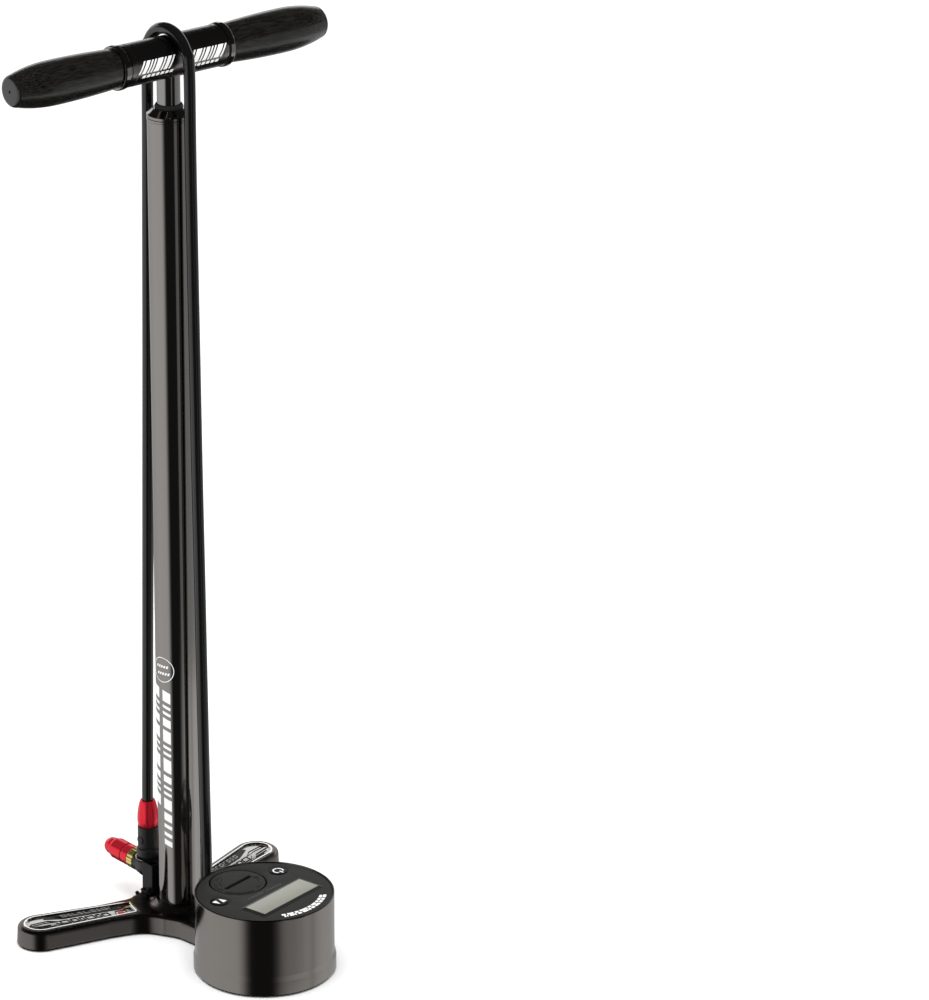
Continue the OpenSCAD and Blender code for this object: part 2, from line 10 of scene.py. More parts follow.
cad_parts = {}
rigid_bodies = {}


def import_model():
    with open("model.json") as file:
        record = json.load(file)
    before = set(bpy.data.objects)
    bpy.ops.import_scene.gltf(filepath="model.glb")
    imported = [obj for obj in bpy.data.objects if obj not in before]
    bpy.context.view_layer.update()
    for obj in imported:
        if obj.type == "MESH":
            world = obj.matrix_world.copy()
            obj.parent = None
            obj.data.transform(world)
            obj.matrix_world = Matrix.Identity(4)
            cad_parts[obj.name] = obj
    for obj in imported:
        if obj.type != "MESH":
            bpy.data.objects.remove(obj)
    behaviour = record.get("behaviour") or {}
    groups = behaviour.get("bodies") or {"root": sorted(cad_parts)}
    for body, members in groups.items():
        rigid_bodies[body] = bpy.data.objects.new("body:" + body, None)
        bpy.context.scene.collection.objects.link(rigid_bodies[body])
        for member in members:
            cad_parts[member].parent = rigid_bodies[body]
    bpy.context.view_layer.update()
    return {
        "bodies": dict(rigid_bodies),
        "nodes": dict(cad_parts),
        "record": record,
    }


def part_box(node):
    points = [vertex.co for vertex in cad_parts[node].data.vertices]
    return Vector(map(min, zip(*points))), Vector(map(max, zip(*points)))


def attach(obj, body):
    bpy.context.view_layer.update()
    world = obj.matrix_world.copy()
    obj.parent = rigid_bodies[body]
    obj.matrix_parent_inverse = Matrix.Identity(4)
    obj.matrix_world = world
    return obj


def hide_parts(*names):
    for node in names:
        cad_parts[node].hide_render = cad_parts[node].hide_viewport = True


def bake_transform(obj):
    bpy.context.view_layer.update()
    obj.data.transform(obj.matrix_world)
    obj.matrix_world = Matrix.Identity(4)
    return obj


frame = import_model()
MM = 0.001
TAU = 2 * math.pi


def mm_box(node):
    low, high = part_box(node)
    return np.array(low) / MM, np.array(high) / MM


def middle(node):
    low, high = mm_box(node)
    return (low + high) / 2


# ---- places and sizes, all from the frame ----

(_, _, BARREL_FOOT), (BARREL_R, _, BARREL_TOP) = mm_box("barrel")
ROD_R = mm_box("piston_rod")[1][0]
HANDLE_Z = middle("handle_tube")[2]
TUBE_HALF, TUBE_R, _ = mm_box("handle_tube")[1]
COLLAR_END = mm_box("handle_collar_right")[1][0]
GRIP_END, GRIP_R, _ = mm_box("grip_right")[1]
GAUGE = middle("gauge_foot")
BAND_R, _, HOUSING_TOP = mm_box("gauge_housing")[1]
(_, _, FACE_LOW), (FACE_R, _, FACE_TOP) = mm_box("gauge_face")
CHUCK_Y = middle("chuck_body")[1]
PORT_Z = middle("chuck_collar")[2]
NUT_START = mm_box("chuck_nut")[0][1] - 2.4
COLLAR_START = mm_box("chuck_collar")[0][1] - 2.1
COLLAR_TIP = mm_box("chuck_collar")[1][1]
FIT_Y = middle("hose_crimp")[1]
LEG_H = 15.0
HUB_H = 18.5
REAR_H = mm_box("dock")[0][2]
_across = middle("power_button") - middle("unit_button")
GAUGE_TURN = math.atan2(_across[1], _across[0])

# The hose's route, as in the CAD model: up in front, over the handle and down behind
HOSE_ROUTE = [
    (0, -31, 30), (0, -31, 60), (0, -30, 110), (0, -28.6, 190), (0, -27.4, 270), (0, -26, 350),
    (0, -25, 430), (0, -24, 510), (0, -23.3, 580), (0, -23, 636),
    (0, -20, 647.5), (0, -11.5, 656), (0, 0, 659), (0, 11.5, 656), (0, 20, 647.5), (0, 22.8, 636),
    (0, 24, 580), (0, 25.6, 510), (0, 27.4, 430), (0, 29.5, 350), (0, 31.6, 270), (0, 33.7, 190),
    (0, 35.6, 120), (0, 36.5, 90), (0, 36.5, 70),
]
HOSE_R = 4.0


# ---- camera ----

def make_camera():
    azimuth, elevation, roll = math.radians(40.56), math.radians(21.24), math.radians(0.36)
    at = Vector((-2.1157, -2.7797, 1.6783))
    ahead = Vector((math.sin(azimuth) * math.cos(elevation), math.cos(azimuth) * math.cos(elevation),
                    -math.sin(elevation)))
    right = Vector((math.cos(azimuth), -math.sin(azimuth), 0))
    up = right.cross(ahead)
    turned_right = right * math.cos(roll) + up * math.sin(roll)
    turned_up = up * math.cos(roll) - right * math.sin(roll)
    data = bpy.data.cameras.new("camera")
    data.lens = 195.22
    data.sensor_width = 36
    data.clip_start = 0.1
    data.clip_end = 60
    camera = bpy.data.objects.new("camera", data)
    bpy.context.scene.collection.objects.link(camera)
    camera.matrix_world = Matrix((
        (turned_right.x, turned_up.x, -ahead.x, at.x),
        (turned_right.y, turned_up.y, -ahead.y, at.y),
        (turned_right.z, turned_up.z, -ahead.z, at.z),
        (0, 0, 0, 1)))
    bpy.context.scene.camera = camera


# ---- mesh helpers: everything below takes and gives millimetres ----

def make_object(name, points, faces, where=None, smooth_angle=35):
    """A mesh object from points in millimetres, with outward normals and smooth shading up to an angle."""
    points = np.asarray(points, float)
    if where is not None:
        points = points @ where[:3, :3].T + where[:3, 3]
    mesh = bpy.data.meshes.new(name)
    mesh.from_pydata((points * MM).tolist(), [], faces)
    bm = bmesh.new()
    bm.from_mesh(mesh)
    bmesh.ops.remove_doubles(bm, verts=bm.verts, dist=1e-8)
    bmesh.ops.dissolve_degenerate(bm, edges=bm.edges, dist=1e-8)
    bmesh.ops.recalc_face_normals(bm, faces=bm.faces)
    bm.to_mesh(mesh)
    bm.free()
    mesh.shade_smooth()
    mesh.set_sharp_from_angle(angle=math.radians(smooth_angle))
    piece = bpy.data.objects.new(name, mesh)
    bpy.context.scene.collection.objects.link(piece)
    return piece


def place(x=0.0, y=0.0, z=0.0, axis="z", turn=0.0):
    """A placing matrix: the shape's own z runs along the axis named, after a turn about its own z."""
    c, s = math.cos(turn), math.sin(turn)
    spin = np.array([[c, -s, 0], [s, c, 0], [0, 0, 1.0]])
    swaps = {"z": np.eye(3), "x": np.array([[0, 0, 1], [1, 0, 0], [0, 1, 0.0]]),
             "-x": np.array([[0, 0, -1], [-1, 0, 0], [0, 1, 0.0]]),
             "y": np.array([[0, 1, 0], [0, 0, 1], [1, 0, 0.0]])}
    made = np.eye(4)
    made[:3, :3] = swaps[axis] @ spin
    made[:3, 3] = (x, y, z)
    return made


def rounded(corners, soft, closed=True):
    """A polyline with each corner replaced by an arc. A corner is (a, b) or (a, b, its own radius)."""
    corners = [tuple(c) + (soft,) * (3 - len(c)) for c in corners]
    count = len(corners)
    made = []
    for i, (a, b, radius) in enumerate(corners):
        here = np.array([a, b], float)
        if not closed and i in (0, count - 1):
            made.append(here)
            continue
        before = np.array(corners[i - 1][:2], float) - here
        after = np.array(corners[(i + 1) % count][:2], float) - here
        run_in, run_out = np.linalg.norm(before), np.linalg.norm(after)
        before, after = before / run_in, after / run_out
        inside = math.acos(float(np.clip(before @ after, -1, 1)))
        cut = min(radius / math.tan(inside / 2), 0.45 * run_in, 0.45 * run_out) if inside > 0.02 else 0
        if a < 1e-9 or cut < 1e-4 or inside > math.pi - 0.02:
            made.append(here)
            continue
        radius = cut * math.tan(inside / 2)
        centre = here + (before + after) / np.linalg.norm(before + after) * radius / math.sin(inside / 2)
        start, end = here + before * cut - centre, here + after * cut - centre
        sweep = math.atan2(start[0] * end[1] - start[1] * end[0], start @ end)
        steps = max(2, int(abs(sweep) / math.radians(18)))
        for k in range(steps + 1):
            t = sweep * k / steps
            c, s = math.cos(t), math.sin(t)
            made.append(centre + np.array([c * start[0] - s * start[1], s * start[0] + c * start[1]]))
    return with_holding_points(np.array(made), closed)


def with_holding_points(points, closed, near=0.06, bend=math.radians(6)):
    """Adds a point close to each bent end of every long straight run, so that smooth shading stays flat there."""
    made = []
    count = len(points)
    runs = np.roll(points, -1, axis=0) - points
    angle = np.arctan2(runs[:, 1], runs[:, 0])
    turn = np.abs((angle - np.roll(angle, 1) + math.pi) % TAU - math.pi)
    for i in range(count if closed else count - 1):
        a, b = points[i], points[(i + 1) % count]
        made.append(a)
        length = np.linalg.norm(b - a)
        if length > 6 * near:
            made += [a + (b - a) * near / length] if turn[i] > bend else []
            made += [b - (b - a) * near / length] if turn[(i + 1) % count] > bend else []
    if not closed:
        made.append(points[-1])
    return np.array(made)


def lathe(name, corners, where, soft=0.3, steps=128, radius=None):
    """A solid of revolution from a closed outline of (radius, height). radius(angle, r, h) may reshape it."""
    outline = rounded(corners, soft)
    angles = np.arange(steps) * TAU / steps
    r = np.repeat(outline[:, 0][:, None], steps, 1)
    h = np.repeat(outline[:, 1][:, None], steps, 1)
    a = np.repeat(angles[None, :], len(outline), 0)
    if radius is not None:
        r = radius(a, r, h)
    points = np.stack([r * np.cos(a), r * np.sin(a), h], -1).reshape(-1, 3)
    return make_object(name, points, ring_faces(len(outline), steps, True), where)


def ring_faces(rings, steps, closed):
    faces = []
    for i in range(rings if closed else rings - 1):
        a, b = i * steps, (i + 1) % rings * steps
        faces += [(a + k, a + (k + 1) % steps, b + (k + 1) % steps, b + k) for k in range(steps)]
    return faces


def tube(name, path, radius, steps=32):
    """A round bar along a path that lies in the plane x = 0, with flat ends."""
    path = np.asarray(path, float)
    ahead = np.gradient(path, axis=0)
    ahead /= np.linalg.norm(ahead, axis=1)[:, None]
    side = np.array([1.0, 0, 0])
    out = np.cross(ahead, side)
    angles = np.arange(steps) * TAU / steps
    points = (path[:, None, :] + radius * (np.cos(angles)[None, :, None] * side
              + np.sin(angles)[None, :, None] * out[:, None, :])).reshape(-1, 3)
    last = (len(path) - 1) * steps
    faces = ring_faces(len(path), steps, False)
    faces += [tuple(range(steps)), tuple(range(last, last + steps))]
    return make_object(name, points, faces)


def coil(name, where, radius, wire, length, turns, steps=96, around=10):
    """A helical spring standing on its own frame's origin, with flat ends."""
    a = np.linspace(0, TAU * turns, steps)[:, None]
    b = np.arange(around)[None, :] * TAU / around
    reach = radius + wire * np.cos(b)
    height = length * a / (TAU * turns) + wire * np.sin(b)
    points = np.stack([reach * np.cos(a), reach * np.sin(a), height, np.ones_like(height)], -1).reshape(-1, 4)
    last = (steps - 1) * around
    faces = ring_faces(steps, around, False) + [tuple(range(around)), tuple(range(last, last + around))]
    return make_object(name, (points @ where.T)[:, :3], faces)


def spline(points, k):
    """A smooth curve through the points, with k steps from each to the next."""
    p = np.asarray(points, float)
    made = []
    for i in range(len(p) - 1):
        a, b, c, d = p[max(i - 1, 0)], p[i], p[i + 1], p[min(i + 2, len(p) - 1)]
        for t in np.arange(k) / k:
            made.append(0.5 * (2 * b + (c - a) * t + (2 * a - 5 * b + 4 * c - d) * t ** 2
                               + (3 * b - a - 3 * c + d) * t ** 3))
    return np.array(made + [p[-1]])


def circle(x, y, r, steps=96):
    """An outline function: circle(...)(grow) gives the circle's points, grown outwards."""
    a = np.arange(steps) * TAU / steps
    return lambda grow: np.stack([x + (r + grow) * np.cos(a), y + (r + grow) * np.sin(a)], 1)


def slab(x, y, width, height, corner, turn=0.0, steps=6):
    """An outline function for a rectangle with round corners."""
    def points(grow):
        r = max(corner + grow, 0.05)
        w, h = width / 2 + grow - r, height / 2 + grow - r
        made = []
        for q, (sx, sy) in enumerate(((1, 1), (-1, 1), (-1, -1), (1, -1))):
            for k in range(steps + 1):
                a = math.pi / 2 * (q + k / steps)
                made.append((sx * w + r * math.cos(a), sy * h + r * math.sin(a)))
        made = np.array(made)
        c, s = math.cos(turn), math.sin(turn)
        return made @ np.array([[c, s], [-s, c]]) + (x, y)
    return points


def plate(name, outer, holes, where=None, smooth_angle=35):
    """A flat plate. outer and each hole is (outline function, [(grow, z), ...]) from its bottom rim to its top."""
    bm = bmesh.new()
    rims = {0: [], -1: []}
    for outline, profile in [outer, *holes]:
        rows = [[bm.verts.new((*p, z)) for p in outline(grow)] for grow, z in profile]
        for a, b in zip(rows, rows[1:]):
            count = len(a)
            for k in range(count):
                bm.faces.new((a[k], a[(k + 1) % count], b[(k + 1) % count], b[k]))
        for end in rims:
            row = rows[end]
            rims[end] += [bm.edges.get((row[k], row[(k + 1) % len(row)])) for k in range(len(row))]
    for edges in rims.values():
        bmesh.ops.triangle_fill(bm, edges=edges, use_beauty=True)
    index = {v: i for i, v in enumerate(bm.verts)}
    points = [tuple(v.co) for v in bm.verts]
    faces = [tuple(index[v] for v in f.verts) for f in bm.faces]
    bm.free()
    return make_object(name, points, faces, where, smooth_angle)


def edge_profile(low, high, soft, outward=1, steps=4):
    """The (grow, z) rows of a plate's edge with its top corner rounded. outward is -1 for a hole."""
    rows = [(0, low), (0, high - soft - 0.02)]
    for k in range(steps + 1):
        a = math.pi / 2 * k / steps
        rows.append((outward * -soft * (1 - math.cos(a)), high - soft * (1 - math.sin(a))))
    return rows


def marks(name, quads, surface, thick=0.06, across=6, along=4):
    """Thin raised marks. Each quad is four (u, v) corners, and surface(u, v, h) gives its points."""
    points, faces = [], []
    for quad in quads:
        a, b, c, d = (np.array(q, float) for q in quad)
        base = len(points)
        for h in (0.0, thick):
            for j in range(along + 1):
                for i in range(across + 1):
                    s, t = i / across, j / along
                    u, v = (a * (1 - s) + b * s) * (1 - t) + (d * (1 - s) + c * s) * t
                    points.append(surface(u, v, h))
        row, layer = across + 1, (across + 1) * (along + 1)
        for j in range(along):
            for i in range(across):
                k = base + j * row + i
                faces.append((k, k + row, k + row + 1, k + 1))
                faces.append((k + layer, k + layer + 1, k + layer + row + 1, k + layer + row))
        rim = [base + i for i in range(across)]
        rim += [base + j * row + across for j in range(along)]
        rim += [base + along * row + across - i for i in range(across)]
        rim += [base + (along - j) * row for j in range(along)]
        faces += [(p, q, q + layer, p + layer) for p, q in zip(rim, rim[1:] + rim[:1])]
    return make_object(name, points, faces, smooth_angle=30)


def bar(u0, u1, v0, v1, lean=0.0):
    return ((u0, v0), (u1, v0), (u1 + lean, v1), (u0 + lean, v1))


def thin_sides(corners, wide):
    """The sides of a four or five cornered figure as thin quads inside it."""
    corners = np.array(corners, float)
    inwards = corners.mean(0) - corners
    inner = corners + wide * inwards / np.linalg.norm(inwards, axis=1)[:, None] * 1.4
    count = len(corners)
    return [(corners[k], corners[(k + 1) % count], inner[(k + 1) % count], inner[k]) for k in range(count)]


def arc_bars(x, y, r, width, start, end, steps=24):
    """An arc as a row of quads."""
    a = np.radians(np.linspace(start, end, steps + 1))
    inner = np.stack([x + (r - width / 2) * np.cos(a), y + (r - width / 2) * np.sin(a)], 1)
    outer = np.stack([x + (r + width / 2) * np.cos(a), y + (r + width / 2) * np.sin(a)], 1)
    return [(outer[i], outer[i + 1], inner[i + 1], inner[i]) for i in range(steps)]


def net(name, depth, low, high, step, smooth_angle=180):
    """A smooth closed mesh of the surface depth(x, y, z) = 0; depth is negative inside."""
    low, high = np.array(low, float), np.array(high, float)
    count = np.ceil((high - low) / step).astype(int) + 1
    axes = [low[i] + step * np.arange(count[i]) for i in range(3)]
    x, y, z = np.meshgrid(*axes, indexing="ij")
    value = depth(x, y, z)
    inside = value < 0
    cells = count - 1
    total = np.zeros([*cells, 3])
    hits = np.zeros(cells)
    for axis in range(3):
        near = [slice(None)] * 3
        far = [slice(None)] * 3
        near[axis], far[axis] = slice(0, -1), slice(1, None)
        a, b = value[tuple(near)], value[tuple(far)]
        crossed = (a < 0) != (b < 0)
        share = np.where(crossed, a / np.where(crossed, a - b, 1), 0)
        others = [i for i in range(3) if i != axis]
        for p in (0, 1):
            for q in (0, 1):
                pick = [slice(None)] * 3
                pick[others[0]] = slice(p, p + cells[others[0]])
                pick[others[1]] = slice(q, q + cells[others[1]])
                on = crossed[tuple(pick)]
                at = [np.zeros(cells), np.zeros(cells), np.zeros(cells)]
                at[axis] = share[tuple(pick)]
                at[others[0]] = np.full(cells, float(p))
                at[others[1]] = np.full(cells, float(q))
                total += np.stack(at, -1) * on[..., None]
                hits += on
    used = hits > 0
    index = np.full(cells, -1)
    index[used] = np.arange(used.sum())
    where = np.argwhere(used)
    points = low + step * (where + total[used] / hits[used][:, None])
    faces = []
    for axis in range(3):
        others = [i for i in range(3) if i != axis]
        near = [slice(1, -1)] * 3
        far = [slice(1, -1)] * 3
        near[axis], far[axis] = slice(0, -1), slice(1, None)
        found = np.argwhere(inside[tuple(near)] != inside[tuple(far)])
        for o in others:
            found[:, o] += 1
        corners = []
        for p, q in ((0, 0), (1, 0), (1, 1), (0, 1)):
            cell = found.copy()
            cell[:, others[0]] -= p
            cell[:, others[1]] -= q
            corners.append(index[cell[:, 0], cell[:, 1], cell[:, 2]])
        faces += np.stack(corners, 1).tolist()
    for _ in range(3):
        px, py, pz = points.T
        here = depth(px, py, pz)
        nudge = 0.02
        slope = np.stack([
            (depth(px + nudge, py, pz) - depth(px - nudge, py, pz)) / (2 * nudge),
            (depth(px, py + nudge, pz) - depth(px, py - nudge, pz)) / (2 * nudge),
            (depth(px, py, pz + nudge) - depth(px, py, pz - nudge)) / (2 * nudge)], 1)
        size = np.maximum((slope ** 2).sum(1), 0.25)
        push = (here / size)[:, None] * slope
        points -= np.clip(push, -0.6 * step, 0.6 * step)
    return make_object(name, points, faces, smooth_angle=smooth_angle)


# depth functions for net()

def join_round(a, b, r):
    """The union of two shapes with a round fillet of radius r between them."""
    return np.maximum(r, np.minimum(a, b)) - np.hypot(np.maximum(r - a, 0), np.maximum(r - b, 0))


def cut_round(a, b, r):
    """Shape a with shape b taken away, and the edge rounded to radius r."""
    return -join_round(-a, b, r) if r > 0 else np.maximum(a, -b)


def slice_round(flat, up, r):
    """A flat shape cut off by a second distance, with the edge between them rounded to radius r."""
    u, v = flat + r, up + r
    return np.minimum(np.maximum(u, v), 0) + np.hypot(np.maximum(u, 0), np.maximum(v, 0)) - r


def block(x, y, z, low, high, r):
    """A box with rounded edges."""
    centre, half = (np.array(low) + high) / 2, (np.array(high) - low) / 2 - r
    dx, dy, dz = (np.abs(v - c) - h for v, c, h in zip((x, y, z), centre, half))
    outside = np.sqrt(np.maximum(dx, 0) ** 2 + np.maximum(dy, 0) ** 2 + np.maximum(dz, 0) ** 2)
    return outside + np.minimum(np.maximum(dx, np.maximum(dy, dz)), 0) - r


make_camera()


# ---- finishes ----

def finish(name, color, rough, metal=0.0, coat=0.0, specular=0.5):
    material = bpy.data.materials.new(name)
    material.use_nodes = True
    shader = material.node_tree.nodes["Principled BSDF"]
    for socket, value in (("Base Color", (*color, 1)), ("Roughness", rough), ("Metallic", metal), ("Coat Weight", coat),
                          ("Coat Roughness", 0.06), ("Specular IOR Level", specular)):
        shader.inputs[socket].default_value = value
    return material


def noise(material, scale, stretch=(1, 1, 1), detail=4.0):
    """A noise texture in the object's own space. Returns its factor socket."""
    nodes, links = material.node_tree.nodes, material.node_tree.links
    where = nodes.new("ShaderNodeTexCoord")
    spread = nodes.new("ShaderNodeMapping")
    spread.inputs["Scale"].default_value = stretch
    texture = nodes.new("ShaderNodeTexNoise")
    texture.inputs["Scale"].default_value = scale
    texture.inputs["Detail"].default_value = detail
    links.new(where.outputs["Object"], spread.inputs["Vector"])
    links.new(spread.outputs["Vector"], texture.inputs["Vector"])
    return texture.outputs["Fac"]


def bumpy(material, scale, depth_mm, stretch=(1, 1, 1), strength=0.5):
    nodes, links = material.node_tree.nodes, material.node_tree.links
    bump = nodes.new("ShaderNodeBump")
    bump.inputs["Strength"].default_value = strength
    bump.inputs["Distance"].default_value = depth_mm * MM
    links.new(noise(material, scale, stretch), bump.inputs["Height"])
    links.new(bump.outputs["Normal"], nodes["Principled BSDF"].inputs["Normal"])
    return material


def mottled(material, scale, low, high, stretch=(1, 1, 1), start=0.35, end=0.65):
    """Colours the material between two colours by noise."""
    nodes, links = material.node_tree.nodes, material.node_tree.links
    ramp = nodes.new("ShaderNodeValToRGB")
    ramp.color_ramp.elements[0].position = start
    ramp.color_ramp.elements[0].color = (*low, 1)
    ramp.color_ramp.elements[1].position = end
    ramp.color_ramp.elements[1].color = (*high, 1)
    links.new(noise(material, scale, stretch, 8.0), ramp.inputs["Fac"])
    links.new(ramp.outputs["Color"], nodes["Principled BSDF"].inputs["Base Color"])
    return material


GRAIN = (1, 16, 16)
FINISH = {
    "black_chrome": finish("black_chrome", (0.30, 0.285, 0.27), 0.10, metal=1),
    "rod_chrome": finish("rod_chrome", (0.32, 0.31, 0.30), 0.07, metal=1),
    "gloss_black": finish("gloss_black", (0.012, 0.012, 0.012), 0.12, coat=0.5),
    "mirror_plate": bumpy(finish("mirror_plate", (0.50, 0.49, 0.48), 0.16, metal=1), 90, 0.12, (1, 3, 1)),
    "bare_aluminium": bumpy(finish("bare_aluminium", (0.66, 0.66, 0.65), 0.32, metal=1), 900, 0.02),
    "stained_wood": mottled(bumpy(finish("stained_wood", (0.004, 0.004, 0.003), 0.27, coat=0.45), 150, 0.22, GRAIN),
                            110, (0.0008, 0.0007, 0.0006), (0.0150, 0.0135, 0.0120), GRAIN),
    "rubber": bumpy(finish("rubber", (0.018, 0.018, 0.018), 0.75, specular=0.3), 1500, 0.03),
    "hose_rubber": bumpy(finish("hose_rubber", (0.004, 0.004, 0.004), 0.17, coat=0.25), 900, 0.01, strength=0.25),
    "steel": finish("steel", (0.56, 0.56, 0.55), 0.28, metal=1),
    "brass": finish("brass", (0.86, 0.70, 0.25), 0.30, metal=1),
    "red_anodised": bumpy(finish("red_anodised", (0.80, 0.022, 0.045), 0.24, metal=0.7), 1500, 0.01),
    "black_composite": bumpy(finish("black_composite", (0.010, 0.009, 0.009), 0.38), 1400, 0.03),
    "black_plastic": bumpy(finish("black_plastic", (0.011, 0.010, 0.010), 0.33), 1400, 0.02),
    "matte_face": bumpy(finish("matte_face", (0.021, 0.020, 0.019), 0.62, specular=0.35), 1800, 0.02),
    "button_plastic": bumpy(finish("button_plastic", (0.003, 0.003, 0.003), 0.30, specular=0.12), 1200, 0.005),
    "lcd_glass": mottled(finish("lcd_glass", (0.20, 0.20, 0.17), 0.22, specular=0.35), 12, (0.20, 0.20, 0.172),
                         (0.235, 0.237, 0.20), start=0.3, end=0.7),
    "lcd_panel": finish("lcd_panel", (0.28, 0.29, 0.24), 0.4),
    "circuit_board": mottled(finish("circuit_board", (0.02, 0.16, 0.07), 0.4), 300,
                             (0.01, 0.10, 0.04), (0.03, 0.18, 0.08)),
}
GAUGE_METAL = finish("gauge_metal", (0.235, 0.22, 0.205), 0.17, metal=1)
CAST_METAL = bumpy(finish("cast_metal", (0.155, 0.143, 0.134), 0.27, metal=1), 700, 0.02, strength=0.3)
DARK_EDGE = finish("dark_edge", (0.05, 0.048, 0.045), 0.2, metal=1)
SATIN_TUBE = finish("satin_tube", (0.26, 0.245, 0.235), 0.26, metal=1)
BRIGHT_RIM = finish("bright_rim", (0.80, 0.79, 0.77), 0.12, metal=1)
WHITE_PRINT = finish("white_print", (0.86, 0.86, 0.86), 0.4)
GREY_PRINT = finish("grey_print", (0.055, 0.055, 0.055), 0.5)
# Near-black: the colour of the inlays' relief marks, the cover's arrows and the dock, and also painted shade on the
# floor of the coin slot.
BLACK_RELIEF_AND_SLOT_SHADE = finish("black_relief_and_slot_shade", (0.003, 0.003, 0.003), 0.32, specular=0.18)
LENS_EDGE = finish("lens_edge", (0.014, 0.014, 0.013), 0.35, coat=0.2)
# Painted reflection: this red stands for the chuck's red collar seen in the inlays' mirror plate.
PAINTED_RED_REFLECTION = finish("painted_red_reflection", (0.55, 0.02, 0.02), 0.35)

BODY_OF = {n: next(b for b, e in frame["bodies"].items() if o.parent is e) for n, o in frame["nodes"].items()}
SLOT_OF = {s["node"]: s["material_slot"] for s in frame["record"]["subparts"]}
for node, piece in frame["nodes"].items():
    piece.data.materials.clear()
    piece.data.materials.append(FINISH[SLOT_OF[node]])


def dress(piece, slot, body, stands_for=(), material=None):
    """Gives a piece its finish and its body, and hides the CAD nodes it stands for."""
    piece.data.materials.clear()
    piece.data.materials.append(material or FINISH[slot])
    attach(piece, body)
    if stands_for:
        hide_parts(*stands_for)
    return piece


def stand_in(piece, *nodes, material=None):
    """The piece takes the body and the finish of the first CAD node it replaces."""
    return dress(piece, SLOT_OF[nodes[0]], BODY_OF[nodes[0]], nodes, material)


# ---- base ----

SWEEP = math.radians(17)
LEG_ROOT_Y = 6.0
LEG_LENGTH = 101.0
LEG_END_R = 16.6
POCKET_START, POCKET_ROOT, POCKET_END = 31.0, 8.6, 11.7
GAUGE_Y = -GAUGE[1]


def leg_frame(x, y):
    """Distance along the nearer leg, and across it towards the back."""
    ax = np.abs(x)
    c, s = math.cos(SWEEP), math.sin(SWEEP)
    return ax * c + (y - LEG_ROOT_Y) * s, (y - LEG_ROOT_Y) * c - ax * s


def leg_place(side, s, t):
    c, n = math.cos(SWEEP), math.sin(SWEEP)
    return side * (s * c - t * n), LEG_ROOT_Y + s * n + t * c


def base_depth(x, y, z):
    s, t = leg_frame(x, y)
    lean = 0.05 * (z - 8)
    leg = np.where(s > LEG_LENGTH, np.hypot(s - LEG_LENGTH, t) - LEG_END_R,
                   np.abs(t) - np.interp(s, [0, 55, 84, LEG_LENGTH], [16.0, 14.2, 15.8, LEG_END_R])) + lean
    neck = np.abs(x) - np.interp(y, [-50, -38, -20, 0], [17.6, 17.4, 19.6, 22.0]) + lean
    neck = np.maximum(neck, np.abs(y + 30) - 44)
    hub = np.hypot(x, y) - 26
    rear = np.maximum(np.abs(x) - 17, np.abs(y - 12) - 17)
    flat = join_round(join_round(join_round(leg, neck, 20), hub, 6), rear, 10)
    body = slice_round(slice_round(flat, z - LEG_H, 3.0), 0.4 - z, 1.6)
    boss = np.maximum(slice_round(np.hypot(x, y) - 16.6, z - HUB_H, 0.8), 2 - z)
    body = join_round(body, boss, 7)
    body = join_round(body, block(x, y, z, (-12, 14, 3), (12, 31, REAR_H), 1.2), 3)
    pocket = np.where(s > LEG_LENGTH, np.hypot(s - LEG_LENGTH, t) - POCKET_END, np.maximum(
        np.abs(t) - np.interp(s, [POCKET_START, LEG_LENGTH], [POCKET_ROOT, POCKET_END]), POCKET_START - s))
    body = cut_round(body, np.maximum(pocket, 12.9 - z), 0.5)
    bores = np.minimum(np.hypot(x, y) - BARREL_R - 0.1, np.hypot(x, y + FIT_Y) - 4.2)
    body = np.maximum(body, -np.maximum(bores, 6 - z))
    body = np.maximum(body, -np.maximum(np.hypot(x, y) - 7.6, 2.5 - z))
    body = np.maximum(body, -(np.hypot(x, y + GAUGE_Y) - 46.9))
    return np.maximum(body, 0.6 - z)


base = net("base", base_depth, (-118, -54, -0.5), (118, 50, 20.5), 0.9, smooth_angle=60)
stand_in(base, "base_casting", material=CAST_METAL)


def pocket_outline(side):
    """An outline function of a leg's pocket."""
    def points(grow):
        a = np.radians(np.linspace(-90, 90, 31))
        r = POCKET_END + grow
        row = [(LEG_LENGTH + r * math.cos(b), r * math.sin(b)) for b in a]
        row += [(POCKET_START - grow, POCKET_ROOT + grow), (POCKET_START - grow, -POCKET_ROOT - grow)]
        return np.array([leg_place(side, s, t) for s, t in row])
    return points


def on_inlay(side, lift=0.0):
    return lambda u, v, h: (*leg_place(side, u, v), 14.1 + (h + lift))


